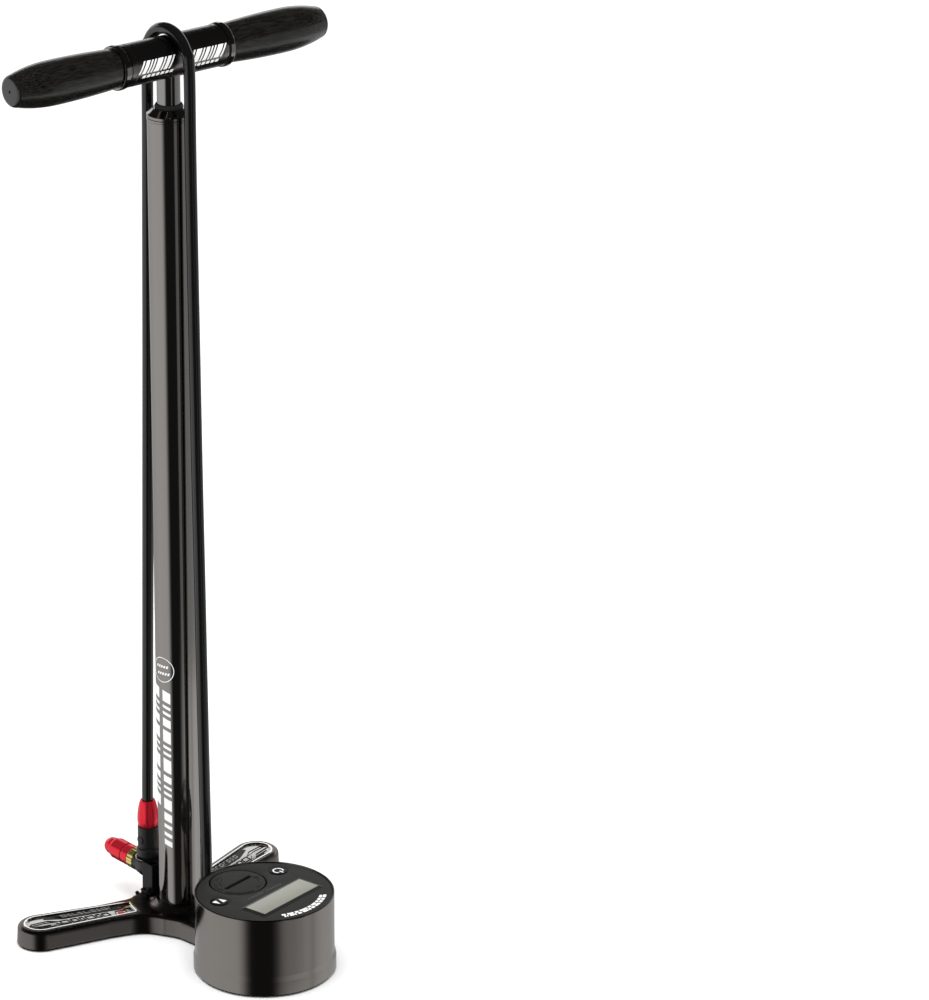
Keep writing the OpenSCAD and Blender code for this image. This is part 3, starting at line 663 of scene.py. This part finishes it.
for side, name in ((-1, "left"), (1, "right")):
    inlay = plate("inlay_" + name, (pocket_outline(side), edge_profile(12.9, 14.1, 0.2)), [])
    stand_in(inlay, "leg_inlay_" + name)
    rim = plate("rim_" + name, (pocket_outline(side), [(0.5, 13.0), (0.5, 15.0), (0.2, 15.3), (-0.3, 15.3)]),
                [(pocket_outline(side), [(-1.3, 13.0), (-1.3, 14.9), (-0.9, 15.3), (-0.3, 15.3)])])
    dress(rim, "mirror_plate", "base", material=BRIGHT_RIM)
    strip = [((40, 1.4), (84, 2.0), (92, 9.4), (44, 7.6)), ((84, 2.0), (97, 6.2), (96, 8.2), (92, 9.4))]
    dress(marks("strip_" + name, strip, on_inlay(side), thick=0.3), "gloss_black", "base", material=BLACK_RELIEF_AND_SLOT_SHADE)
    lines = thin_sides([(38, -6.6), (47, -6.9), (46, -0.6), (38, -1.2)], 0.45)
    for start, wide in ((50, 5), (56.4, 3), (60.8, 6.5), (68.8, 3), (73.2, 5), (79.6, 6.5)):
        lines += thin_sides([(start, -5.8), (start + wide, -5.9), (start + wide + 1.6, -0.5), (start + 1.6, -0.4)], 0.5)
    lines += thin_sides([(88, -1.0), (95, 2.6), (108, 1.4), (110, -1.6), (98, -0.2)], 0.55)
    lines += [bar(95, 108, -4.6, -3.9), bar(92, 105, -6.9, -6.2), ((84, -7.6), (85, -7.6), (91, -3.4), (90, -3.4))]
    lines += [bar(36, 100, -8.3, -7.8, 0.6), ((33, 6.4), (40, 3.4), (40, 4.2), (33, 7.2)), bar(33.5, 39, 0.4, 1.0)]
    dress(marks("relief_" + name, lines, on_inlay(side), thick=0.4), "gloss_black", "base", material=BLACK_RELIEF_AND_SLOT_SHADE)
    studs = []
    for start, wide in ((46, 1.8), (49.4, 3.4), (54.6, 1.8), (58.2, 2.6), (62.8, 3.4), (68.2, 1.8), (71.8, 2.6),
                        (76.4, 1.8), (80, 3.4)):
        studs += thin_sides([(start, 3.4), (start + wide, 3.5), (start + wide + 1.2, 7.2), (start + 1.2, 7.1)], 0.4)
    dress(marks("studs_" + name, studs, on_inlay(side, 0.3), 0.25, 1, 1),
          "mirror_plate", "base")
    # Painted reflection: a red bar near the pocket's root stands for the chuck's red collar mirrored in the inlay.
    dress(marks("red_reflection_bar_" + name, [bar(40, 44, -5.2, -3.2, 0.6)], on_inlay(side, 0.02), 0.4),
          "red_anodised", "base", material=PAINTED_RED_REFLECTION)


# ---- barrel, cap and rod ----

TO_CAMERA = math.radians(229.44)
BARREL_WALL = 1.6
barrel = lathe("barrel_tube", [
    (BARREL_R, BARREL_FOOT), (BARREL_R, BARREL_TOP), (BARREL_R - BARREL_WALL, BARREL_TOP),
    (BARREL_R - BARREL_WALL, BARREL_FOOT)], place(), 0.2, 160)
stand_in(barrel, "barrel")
cap_top = BARREL_TOP + 8
cap = lathe("cap", [
    (BARREL_R - 1.65, BARREL_TOP - 10), (BARREL_R - 1.65, BARREL_TOP + 0.05), (BARREL_R + 0.3, BARREL_TOP + 0.05, 0.2),
    (BARREL_R + 0.3, BARREL_TOP + 1.7, 0.3), (BARREL_R - 0.2, BARREL_TOP + 1.8, 0.1),
    (BARREL_R - 0.2, BARREL_TOP + 2.2, 0.1), (BARREL_R + 0.3, BARREL_TOP + 2.3, 0.3),
    (BARREL_R + 0.3, BARREL_TOP + 4, 0.6), (BARREL_R - 0.8, BARREL_TOP + 4.8, 0.6), (11.0, cap_top, 0.4),
    (8.7, cap_top, 0.2), (8.7, BARREL_TOP + 2), (10.7, BARREL_TOP + 2), (10.7, BARREL_TOP - 10)], place(), 0.15, 160)
stand_in(cap, "barrel_cap", material=FINISH["black_chrome"])
wiper = lathe("wiper", [(ROD_R + 0.06, cap_top), (ROD_R + 0.06, cap_top + 3, 0.3), (ROD_R + 0.7, cap_top + 3, 0.3),
                        (ROD_R + 1.6, cap_top + 1.8, 0.5), (ROD_R + 1.6, cap_top)], place(), 0.1, 128)
stand_in(wiper, "rod_wiper")


def on_barrel(u, v, h):
    """u is in millimetres round the barrel from the side that faces the camera, and v is a height."""
    a = TO_CAMERA + u / BARREL_R
    return (BARREL_R + h + 0.01) * math.cos(a), (BARREL_R + h + 0.01) * math.sin(a), v


def block_column(u0, u1, top, heights, gap, lean):
    """A column of slanted blocks from the top down. Every third one is a pair of bars."""
    made = []
    for k, height in enumerate(heights):
        low = top - height
        spans = ((low, low + 0.3 * height), (top - 0.3 * height, top)) if k % 3 == 1 else ((low, top),)
        made += [((u0, a), (u1, a - lean), (u1, b - lean), (u0, b)) for a, b in spans]
        top = low - gap
    return made


HEIGHTS = [8, 7, 6, 9, 7, 10, 5, 7, 8, 6, 9, 4]
blocks = block_column(-10.4, -4.2, 184, HEIGHTS, 2.9, 2.2)
blocks += block_column(-22.5, -14.0, 187, HEIGHTS[:9], 2.9, 2.2)
dress(marks("barrel_print", blocks, on_barrel, 0.05, across=8), "black_chrome", "base", material=WHITE_PRINT)
ring = arc_bars(-10.5, 199, 9.1, 0.5, 0, 360, 72)
ring += [bar(u, u + 1.4, 200.6, 202.4, 0.5) for u in (-16, -13.8, -11.6, -9.4, -7.2)]
ring += [bar(u, u + 1.4, 195.4, 197.2, 0.5) for u in (-15, -12.8, -10.6, -8.4, -6.2)]
dress(marks("barrel_emblem", ring, on_barrel, 0.05, across=2, along=1), "black_chrome", "base", material=WHITE_PRINT)

(_, _, rod_foot), (_, _, rod_top) = mm_box("piston_rod")
SPIGOT_R, SPIGOT_H, ROD_WALL = 5.0, 12.3, 1.5
shoulder = rod_foot + SPIGOT_H
rod = lathe("rod", [
    (0, rod_foot), (SPIGOT_R, rod_foot, 0.3), (SPIGOT_R, shoulder), (ROD_R, shoulder, 0.3), (ROD_R, rod_top, 0.3),
    (ROD_R - ROD_WALL, rod_top), (ROD_R - ROD_WALL, shoulder + 8), (0, shoulder + 8)], place(), 0.1, 128)
stand_in(rod, "piston_rod")


# ---- handle ----

def grip_outline():
    start, swell = COLLAR_END, GRIP_R
    length = GRIP_END - start
    t = np.linspace(0, 1, 60)
    r = swell - 1.8 * (1 - np.minimum(t / 0.6, 1)) ** 2 - 4.2 * np.maximum((t - 0.6) / 0.4, 0) ** 2.2
    row = [(0.0, 0.05), (r[0] - 0.25, 0.05), (r[0], 0.3)]
    row += [(r[k], 0.3 + t[k] * (length - 3.3)) for k in range(1, 60)]
    corner = [(3.4 * (1 - math.cos(a)), 3.0 * math.sin(a)) for a in np.radians(np.arange(10, 91, 10))]
    row += [(r[-1] - a, length - 3 + b) for a, b in corner]
    row += [(1.0, length), (0.9, length - 0.5), (0.9, length - 6), (0.0, length - 6)]
    return [(a, b, 0.0) for a, b in row]


# From the tube's end inwards: radius, distance from the end and the corner's own radius
tube_end = [(TUBE_R - 2, 0), (TUBE_R, 0), (TUBE_R, 3.4, 0.1), (TUBE_R - 0.35, 3.6, 0.1), (TUBE_R - 0.35, 4.1, 0.1),
            (TUBE_R, 4.3, 0.1)]
tube_piece = lathe("tube", [(r, d - TUBE_HALF, *soft) for r, d, *soft in tube_end]
                   + [(r, TUBE_HALF - d, *soft) for r, d, *soft in reversed(tube_end)],
                   place(0, 0, HANDLE_Z, "x"), 0.2, 160)
stand_in(tube_piece, "handle_tube", material=SATIN_TUBE)

for axis, name in (("x", "right"), ("-x", "left")):
    sign = 1 if axis == "x" else -1
    width = COLLAR_END - TUBE_HALF
    collar = lathe("collar_" + name, [
        (TUBE_R - 2, 0), (TUBE_R - 0.5, 0), (TUBE_R - 0.5, 1.3, 0.1), (TUBE_R + 0.1, 1.5, 0.2),
        (TUBE_R + 0.8, 2.2, 0.4), (TUBE_R + 0.8, width - 1.0, 0.4), (TUBE_R + 0.2, width, 0.3), (TUBE_R - 2, width)],
        place(sign * TUBE_HALF, 0, HANDLE_Z, axis), 0.1, 128)
    stand_in(collar, "handle_collar_" + name)
    grip = lathe("wood_" + name, grip_outline(), place(sign * COLLAR_END, 0, HANDLE_Z, axis), 0, 128)
    stand_in(grip, "grip_" + name)


def on_tube(u, v, h):
    """u runs along the handle, and v is in millimetres up round the tube from its front."""
    a = v / TUBE_R
    return u, -(TUBE_R + h + 0.01) * math.cos(a), HANDLE_Z + (TUBE_R + h + 0.01) * math.sin(a)


word = []
for start, wide in ((-33.5, 1.3), (-30.9, 3.0), (-26.6, 1.3), (-24, 1.3), (-21.4, 4.4), (-15.7, 1.3), (-13.1, 3.0),
                    (-8.8, 1.3), (8.6, 1.3), (11.2, 4.4), (16.9, 1.3), (19.5, 3.0), (23.8, 1.3), (26.4, 1.3), (29, 4.4),
                    (34.7, 1.3)):
    word.append(bar(start - 2, start + wide - 2, -3.3, 5.2, 5.1))
for first, last in ((-32, -6), (10, 32)):
    word += [bar(start, start + 2.6, -6.8, -4.7, 0.8) for start in np.arange(first, last, 3.8)]
dress(marks("handle_print", word, on_tube, 0.05), "black_chrome", "handle", material=WHITE_PRINT)


# ---- gauge ----

at_gauge = place(GAUGE[0], GAUGE[1], 0, turn=GAUGE_TURN)
RIM_R = FACE_R + 1.35
BAND_STEP, BAND_TOP, BAND_SLOPE = 1.25, 11.6, 4.2
SIDE_TURN = TO_CAMERA + math.pi / 2 - GAUGE_TURN


def side_swell(a, r, h):
    """The band at the housing's foot stands out at both sides and fades out at the front and the back."""
    fade = 1 - np.cos(a - SIDE_TURN) ** 20
    return r - BAND_STEP * fade * np.clip((BAND_TOP + BAND_SLOPE - h) / BAND_SLOPE, 0, 1) * (r > BAND_R - 1.9)


housing = lathe("housing", [
    (BAND_R - 2.4, 1.0), (BAND_R - 0.4, 1.0, 0.3), (BAND_R, 1.8, 0.5), (BAND_R, BAND_TOP, 0.1),
    (BAND_R - BAND_STEP, BAND_TOP + BAND_SLOPE, 0.1), (RIM_R + 0.05, HOUSING_TOP - 1.1, 0.2),
    (RIM_R - 0.15, HOUSING_TOP - 0.15, 0.4), (RIM_R - 0.95, HOUSING_TOP - 0.05, 0.3), (RIM_R - 1.25, FACE_TOP - 0.4),
    (RIM_R - 1.25, FACE_LOW), (RIM_R - 3.2, FACE_LOW), (RIM_R - 3.2, 50), (BAND_R - 2.6, 13)],
    at_gauge, 0.1, 256, side_swell)
stand_in(housing, "gauge_housing", material=GAUGE_METAL)
bezel = lathe("bezel", [(RIM_R + 0.04, HOUSING_TOP - 0.75, 0.1), (RIM_R + 0.02, HOUSING_TOP - 0.05, 0.25),
                        (RIM_R - 0.9, HOUSING_TOP + 0.02, 0.2), (RIM_R - 1.1, HOUSING_TOP - 0.4, 0.1)],
              at_gauge, 0.05, 256)
dress(bezel, "black_chrome", "base", material=DARK_EDGE)

COVER, COVER_R, COVER_DEEP = (0, 24), 20.0, 3.4
BUTTONS = {"power": (32, 14), "unit": (-32, 14)}
BUTTON_R = 6.5
LCD = (0.2, -15.8)
LENS_HOLE, LENS_FOOT, LENS_TOP, LENS_H = (60, 18.8), (63.6, 22.2), (58.6, 17.2), 0.9
GROOVE = 0.75


def hole_profile(deep, edge, soft):
    """The rows of a hole's wall, with its top edge widened by edge."""
    return [(0, deep), (0, FACE_TOP - soft), (edge * 0.3, FACE_TOP - soft * 0.3), (edge, FACE_TOP)]


face = plate("face", (circle(0, 0, FACE_R - 0.05, 192), edge_profile(FACE_LOW, FACE_TOP, 0.25)), [
    (circle(*COVER, COVER_R + 0.35), hole_profile(FACE_LOW, 0.3, 0.3)),
    *((circle(*at, BUTTON_R + 0.2, 64), hole_profile(FACE_LOW, 0.35, 0.35)) for at in BUTTONS.values()),
    (slab(*LCD, *LENS_HOLE, 0.4), [(0, FACE_LOW), (0, FACE_TOP)])], at_gauge)
stand_in(face, "gauge_face")
window = plate("window", (slab(*LCD, LENS_TOP[0] - 0.1, LENS_TOP[1] - 0.1, 0.3),
                         edge_profile(FACE_LOW, FACE_TOP + LENS_H, 0.1)), [], at_gauge)
stand_in(window, "lcd_window")
lens_frame = plate("lens_frame", (slab(*LCD, *LENS_FOOT, 1.0), [
    (0, FACE_TOP + 0.02), (0, FACE_TOP + 0.12), (-2.3, FACE_TOP + LENS_H - 0.03), (-2.4, FACE_TOP + LENS_H)]),
    [(slab(*LCD, *LENS_TOP, 0.3), [(0, FACE_TOP + 0.02), (0, FACE_TOP + LENS_H)])], at_gauge)
dress(lens_frame, "black_plastic", "base", material=LENS_EDGE)

cover = plate("cover", (circle(*COVER, COVER_R - GROOVE), edge_profile(FACE_TOP - COVER_DEEP, FACE_TOP, 0.35)), [
    (slab(*COVER, 27, 3.2, 0.5), [(0, FACE_TOP - COVER_DEEP), (0, FACE_TOP - 0.3), (0.25, FACE_TOP)])], at_gauge)
stand_in(cover, "battery_cover")
# Painted shade: a near-black plate at the bottom of the coin slot stands for the shade inside the recess.
slot_shade_floor = plate("slot_floor_painted_shade", (slab(*COVER, 29, 4.4, 0.5), [(0, FACE_TOP - 3.3), (0, FACE_TOP - 2.0)]),
                    [], at_gauge)
dress(slot_shade_floor, "matte_face", "battery_cover", material=BLACK_RELIEF_AND_SLOT_SHADE)


def on_face(height):
    return lambda u, v, h: (at_gauge @ (u, v, height + h, 1))[:3]


arrows = arc_bars(*COVER, 15.6, 1.0, 100, 165) + arc_bars(*COVER, 15.6, 1.0, 280, 345)
arrows += arc_bars(*COVER, 12.6, 0.5, 105, 160) + arc_bars(*COVER, 17.6, 0.3, 190, 258)
for a in (165, 345):
    c, s = math.cos(math.radians(a)), math.sin(math.radians(a))
    tip = (COVER[0] + 15.6 * c - 3.4 * s, COVER[1] + 15.6 * s + 3.4 * c)
    arrows.append(((COVER[0] + 13.4 * c, COVER[1] + 13.4 * s), (COVER[0] + 17.8 * c, COVER[1] + 17.8 * s), tip, tip))
dress(marks("cover_arrows", arrows, on_face(FACE_TOP), 0.35, 2, 1), "black_plastic", "battery_cover",
      material=BLACK_RELIEF_AND_SLOT_SHADE)

for name, at in BUTTONS.items():
    dome = lathe(name + "_cap", [(0, -2.2), (BUTTON_R, -2.2), (BUTTON_R, -0.1, 0.5), (BUTTON_R - 1.2, 0.18, 0.5),
                                 (0, 0.24)], at_gauge @ place(*at, FACE_TOP), 0.1, 96)
    dress(dome, "button_plastic", name + "_button", (name + "_button",))
on_button = on_face(FACE_TOP + 0.22)
bx, by = BUTTONS["power"]
icon = arc_bars(bx, by, 3.5, 1.0, -50, 230) + [bar(bx - 0.5, bx + 0.5, by - 4.8, by - 1.2)]
dress(marks("power_icon", icon, on_button, 0.06, 2, 1), "button_plastic", "power_button", material=WHITE_PRINT)
bx, by = BUTTONS["unit"]
icon = [((bx + way * 0.7, by - way * 2.9), (bx + way * 4.3, by - way * 2.9), (bx + way * 2.5, by + way * 2.9),
         (bx + way * 2.5, by + way * 2.9)) for way in (1, -1)]
dress(marks("unit_icon", icon, on_button, 0.06, 2, 1), "button_plastic", "unit_button", material=WHITE_PRINT)

small = [bar(u, u + 1.5, -0.7 - 0.055 * u, 0.5 - 0.055 * u, 0.3) for u in np.arange(-17, 16, 2.3) if abs(u) > 1.2]
dress(marks("face_small_print", small, on_face(FACE_TOP), 0.03, 2, 1), "matte_face", "base", material=GREY_PRINT)
emblem = []
start = -123
for wide in (4, 7, 4, 10, 4, 7, 4, 4, 5.6):
    for low, high, lean in ((38.8, 40.85, 0), (41.35, 43.5, 1.4)):
        emblem += arc_bars(0, 0, (low + high) / 2, high - low, start + lean, start + wide + lean, 6)
    start += wide + 1.7
dress(marks("face_print", emblem, on_face(FACE_TOP), 0.04, 1, 1), "matte_face", "base", material=WHITE_PRINT)


# ---- hose and chuck ----

hose_path = spline(HOSE_ROUTE, 10)
hose = tube("hose_tube", hose_path, HOSE_R)
hose.data.materials.append(FINISH["hose_rubber"])
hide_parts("hose")
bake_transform(hose)

at_chuck = place(0, CHUCK_Y, 0)
ferrule_low, ferrule_high = mm_box("hose_ferrule")
body_low, body_high = mm_box("chuck_body")
ferrule_h = ferrule_high[2] - ferrule_low[2]


def facets(a, r, h):
    """Eight soft flats down the middle of the ferrule."""
    weight = np.clip(np.minimum(h - 1.2, ferrule_h - 2.0 - h) / 3.5, 0, 1) * (r > 4.6)
    return r * (1 - 0.045 * weight * (1 - np.abs(np.cos(4 * a))))


ferrule = lathe("ferrule", [
    (0, 0), (6.6, 0, 0.3), (7.2, 1.0, 0.6), (7.6, 3.6, 3), (7.65, 6.5, 4), (7.35, 10.4, 6), (6.6, 15.2, 6),
    (5.8, 18.4, 1.5), (5.3, ferrule_h, 0.3), (HOSE_R + 0.1, ferrule_h, 0.2), (HOSE_R + 0.1, 7.7), (0, 7.7)],
    at_chuck @ place(0, 0, ferrule_low[2]), 0.2, 160, facets)
stand_in(ferrule, "hose_ferrule")
collar_ring = lathe("ferrule_rim", [
    (HOSE_R + 0.3, ferrule_h - 0.1), (5.2, ferrule_h - 0.1, 0.1), (5.2, ferrule_h + 0.25, 0.15),
    (HOSE_R + 0.3, ferrule_h + 0.25, 0.15)], at_chuck @ place(0, 0, ferrule_low[2]), 0.05, 96)
dress(collar_ring, "red_anodised", "base")
body_r, body_h = body_high[0], body_high[2] - body_low[2]
body = lathe("chuck_barrel", [
    (0, 0), (body_r, 0), (body_r, 0.8, 0.2), (body_r - 0.3, 1.0, 0.1), (body_r - 0.3, 1.5, 0.1), (body_r, 1.7, 0.2),
    (body_r, body_h - 0.4, 0.3), (body_r - 0.5, body_h, 0.3), (0, body_h)],
    at_chuck @ place(0, 0, body_low[2]), 0.2, 128)
stand_in(body, "chuck_body")
button_z = middle("bleed_button")[2]
button = lathe("bleed_cap", [
    (0, 0), (3.15, 0), (3.15, 2.6, 0.4), (2.5, 3.1, 0.3), (2.1, 2.8, 0.3), (1.4, 2.8, 0.3), (0.9, 3.0, 0.4), (0, 3.1)],
    place(-body_r + 2.6, CHUCK_Y, button_z, "-x"), 0.2, 96)
stand_in(button, "bleed_button")


def on_chuck(u, v, h):
    a = TO_CAMERA + u / body_r
    return (body_r + h) * math.cos(a), CHUCK_Y + (body_r + h) * math.sin(a), v


ribs = [bar(6.3, 8.0, z, z + 0.75) for z in np.arange(body_low[2] + 3, body_high[2] - 2, 1.5)]
chuck_ribs = dress(marks("chuck_ribs", ribs, on_chuck, 0.3, 2, 1), "black_composite", "base")

ELBOW_R = 8.2
BULGE_LOW = body_low[2] - 7.2


def elbow_depth(x, y, z):
    down = np.sqrt(x ** 2 + (y - CHUCK_Y) ** 2 + np.minimum(z - PORT_Z, 0) ** 2) - ELBOW_R + 0.3
    along = np.sqrt(x ** 2 + (z - PORT_Z) ** 2 + np.minimum(y - CHUCK_Y, 0) ** 2) - ELBOW_R
    down = slice_round(down, z - body_low[2] + 1, 0.7)
    along = slice_round(along, y - NUT_START + 4, 0.7)
    collar = slice_round(np.hypot(x, z - PORT_Z) - ELBOW_R + 0.7, np.abs(y - NUT_START + 5) - 5, 0.3)
    middle_z = (BULGE_LOW + body_low[2]) / 2
    bulge = slice_round(np.hypot(x, y - CHUCK_Y) - ELBOW_R - 0.15, np.abs(z - middle_z) - (body_low[2] - middle_z), 1.5)
    return join_round(np.minimum(join_round(down, along, 2.5), collar), bulge, 0.5)


elbow = net("elbow", elbow_depth, (-10, CHUCK_Y - 10, PORT_Z - 10), (10, NUT_START + 1, body_low[2] + 1), 0.45, 50)
stand_in(elbow, "chuck_elbow")

nut_h = COLLAR_START - NUT_START - 0.1
NUT_FLUTES = 14


def flutes(a, r, h):
    """Straight flutes round the nut."""
    return np.where(r > 6, r - 0.3 * np.abs(np.sin(NUT_FLUTES * a / 2)) ** 3, r)


nut = lathe("hex_nut", [
    (1.85, 0), (7.2, 0, 0.2), (7.9, 0.7, 0.3), (7.9, nut_h - 0.7, 0.3), (7.2, nut_h, 0.2), (5.4, nut_h),
    (5.4, nut_h + 14), (1.85, nut_h + 14)], place(0, NUT_START, PORT_Z, "y"), 0.1, 224, flutes)
stand_in(nut, "chuck_nut")


def knurl(a, r, h):
    grip_zone = np.clip(np.minimum(h - 8.5, 18.9 - h) / 0.3, 0, 1) * (r > 7.2)
    return r - 0.16 * grip_zone * (1 - np.abs(np.sin(18 * a)))


sleeve_h = COLLAR_TIP - COLLAR_START + 0.1
sleeve = lathe("red_sleeve", [
    (5.45, 0.1), (7.3, 0.1, 0.2), (7.6, 0.6, 0.3), (7.6, 6.0, 0.3), (7.05, 6.6, 0.2), (7.05, 7.6, 0.2), (7.6, 8.2, 0.3),
    (7.6, 19.2, 0.3), (7.0, 19.8, 0.3), (6.75, 21.2, 0.3), (6.3, 21.8, 0.2), (6.2, 24.8, 1.5), (5.6, 27.6, 1.2),
    (4.7, sleeve_h, 0.6), (3.95, sleeve_h, 0.3), (3.95, 18.9), (5.45, 18.9)],
    place(0, COLLAR_START - 0.1, PORT_Z, "y"), 0.2, 216, knurl)
stand_in(sleeve, "chuck_collar")


# ---- dock ----

dock_low, dock_high = mm_box("dock")
SCREW_X, SCREW_Y = 5.8, 24.6


def dock_depth(x, y, z):
    ax = np.abs(x)
    post = block(x, y, z, (-9.5, dock_low[1], REAR_H), (9.5, dock_high[1], dock_high[2]), 0.6)
    foot = block(x, y, z, (-12, dock_low[1], REAR_H), (12, 31, REAR_H + 2.2), 0.6)
    lug = block(ax, y, z, (9, 27, REAR_H - 4.4), (14.4, 33.2, REAR_H - 2.0), 0.9)
    lug = join_round(lug, np.sqrt((ax - 13.6) ** 2 + (y - 32.6) ** 2 + (z - REAR_H + 1.6) ** 2) - 1.5, 0.8)
    web = np.maximum(np.maximum(ax + 0.9 * (z - REAR_H) - 14.5, np.abs(y - 23) - 1.4), REAR_H + 0.6 - z)
    body = join_round(join_round(join_round(post, foot, 1.0), web, 0.5), lug, 0.6)
    lip = np.maximum(np.hypot(x, y - CHUCK_Y) - ELBOW_R - 1.3, np.abs(z - dock_high[2] + 1.4) - 1.2)
    lip = np.maximum(lip, y - CHUCK_Y - 6)
    body = join_round(body, lip, 0.5)
    body = cut_round(body, np.hypot(x, y - CHUCK_Y) - ELBOW_R - 0.3, 0.3)
    return np.maximum(body, -np.maximum(np.hypot(ax - SCREW_X, y - SCREW_Y) - 3.0, REAR_H + 4 - z))


dock = net("dock_post", dock_depth, (-16, 18, REAR_H - 6), (16, CHUCK_Y + 8, dock_high[2] + 1), 0.5, 50)
stand_in(dock, "dock", material=BLACK_RELIEF_AND_SLOT_SHADE)
lip_ring = lathe("dock_lip", [
    (ELBOW_R + 0.3, 0), (ELBOW_R + 1.4, 0), (ELBOW_R + 1.4, 0.7, 0.5), (ELBOW_R + 0.3, 1.0, 0.3)],
    place(0, CHUCK_Y, dock_high[2] - 0.9), 0.1, 96)
dress(lip_ring, "black_chrome", "base")

WIRE_R = 0.38


def sprung(piece, node):
    """Gives the spring the finish of the CAD node it stands for, hides that node and bakes its placing into its mesh.
    """
    piece.data.materials.append(FINISH[SLOT_OF[node]])
    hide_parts(node)
    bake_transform(piece)
    return piece


(_, _, low), (coil_r, _, high) = mm_box("check_valve_spring")
sprung(coil("valve_spring", place(0, 0, low + WIRE_R), coil_r - WIRE_R, WIRE_R, high - low - 2 * WIRE_R, 3),
       "check_valve_spring")
(low, _, _), (high, _, coil_top) = mm_box("bleed_spring")
button_spring = sprung(
    coil("button_spring", place(low + WIRE_R, CHUCK_Y, button_z, "x"), coil_top - button_z - WIRE_R, WIRE_R,
         high - low - 2 * WIRE_R, 2),
    "bleed_spring")


# ---- a list of the pieces that sit on the hose, the pump's one free cord ----

pieces_on_hose = [ferrule, collar_ring, body, button, elbow, nut, sleeve, chuck_ribs]
pieces_on_hose += [button_spring] + [frame["nodes"][n] for n in ("chuck_seal", "hose_crimp")]


# ---- studio ----

def card(name, stops, low, high, radius=3000, step=2):
    """A curved light card. stops are (degrees to the right of the camera, seen from the pump, strength there)."""
    places, strengths = zip(*stops)
    angles = np.arange(places[0], places[-1] + step / 2, step)
    points = [(radius * math.cos(TO_CAMERA + math.radians(a)), radius * math.sin(TO_CAMERA + math.radians(a)), z)
              for a in angles for z in (low, high)]
    piece = make_object(name, points, [(2 * k, 2 * k + 1, 2 * k + 3, 2 * k + 2) for k in range(len(angles) - 1)])
    mesh = piece.data
    glow = mesh.attributes.new("glow", "FLOAT", "POINT")
    for vertex, value in zip(mesh.vertices, glow.data):
        a = math.degrees(math.atan2(vertex.co.y, vertex.co.x) - TO_CAMERA)
        value.value = float(np.interp((a - places[0] + 1) % 360 + places[0] - 1, places, strengths))
    material = bpy.data.materials.new(name)
    material.use_nodes = True
    nodes, links = material.node_tree.nodes, material.node_tree.links
    nodes.remove(nodes["Principled BSDF"])
    light = nodes.new("ShaderNodeEmission")
    source = nodes.new("ShaderNodeAttribute")
    source.attribute_name = "glow"
    links.new(source.outputs["Fac"], light.inputs["Strength"])
    links.new(light.outputs["Emission"], nodes["Material Output"].inputs["Surface"])
    mesh.materials.append(material)
    piece.visible_camera = False
    piece.visible_diffuse = False
    piece.visible_shadow = False


def studio():
    far = 12000
    floor = make_object("floor", [(-far, -far, 0), (far, -far, 0), (far, far, 0), (-far, far, 0)], [(0, 1, 2, 3)])
    floor.data.materials.append(finish("pale_floor", (0.92, 0.92, 0.92), 0.9, specular=0.0))
    floor.visible_glossy = False
    card("card_left", [(-176, 0.5), (-140, 0.6), (-115, 0.78), (-95, 0.9), (-60, 0.88), (-40, 0.85), (-34, 0.6),
                       (-24, 0.1), (-18, 0)], -2200, 900)
    card("card_right_low", [(14, 0), (22, 0.12), (30, 0.36), (44, 0.6), (60, 0.74), (76, 0.8), (86, 0.62), (94, 0.85),
                            (110, 0.92), (130, 0.75), (150, 0.62), (176, 0.5)], -2200, -1080)
    card("card_right_line", [(26, 0), (30, 0.26), (42, 0.26), (46, 0)], -1080, 900)
    card("card_right", [(64, 0), (70, 0.36), (110, 0.42), (130, 0.5), (176, 0.5)], -1080, 900)
    card("card_back", [(120, 1.25), (240, 1.25)], 650, 1700)
    top = bpy.data.lights.new("top_light", "AREA")
    top.shape = "DISK"
    top.size = 2.4
    top.energy = 60
    lamp = bpy.data.objects.new("top_light", top)
    bpy.context.scene.collection.objects.link(lamp)
    lamp.location = (-0.4, -0.3, 3.0)
    lamp.rotation_euler = (Vector((0, 0, 0)) - Vector(lamp.location)).to_track_quat("-Z", "Y").to_euler()
    lamp.visible_glossy = False
    world = bpy.data.worlds.new("studio")
    bpy.context.scene.world = world
    world.use_nodes = True
    nodes, links = world.node_tree.nodes, world.node_tree.links
    bright, dark = nodes["Background"], nodes.new("ShaderNodeBackground")
    for shader, strength in ((bright, 1.0), (dark, 0.02)):
        shader.inputs["Color"].default_value = (1, 1, 1, 1)
        shader.inputs["Strength"].default_value = strength
    ray = nodes.new("ShaderNodeLightPath")
    mix = nodes.new("ShaderNodeMixShader")
    links.new(ray.outputs["Is Glossy Ray"], mix.inputs["Fac"])
    links.new(bright.outputs["Background"], mix.inputs[1])
    links.new(dark.outputs["Background"], mix.inputs[2])
    links.new(mix.outputs["Shader"], nodes["World Output"].inputs["Surface"])
    bpy.context.scene.view_settings.view_transform = "Standard"


studio()
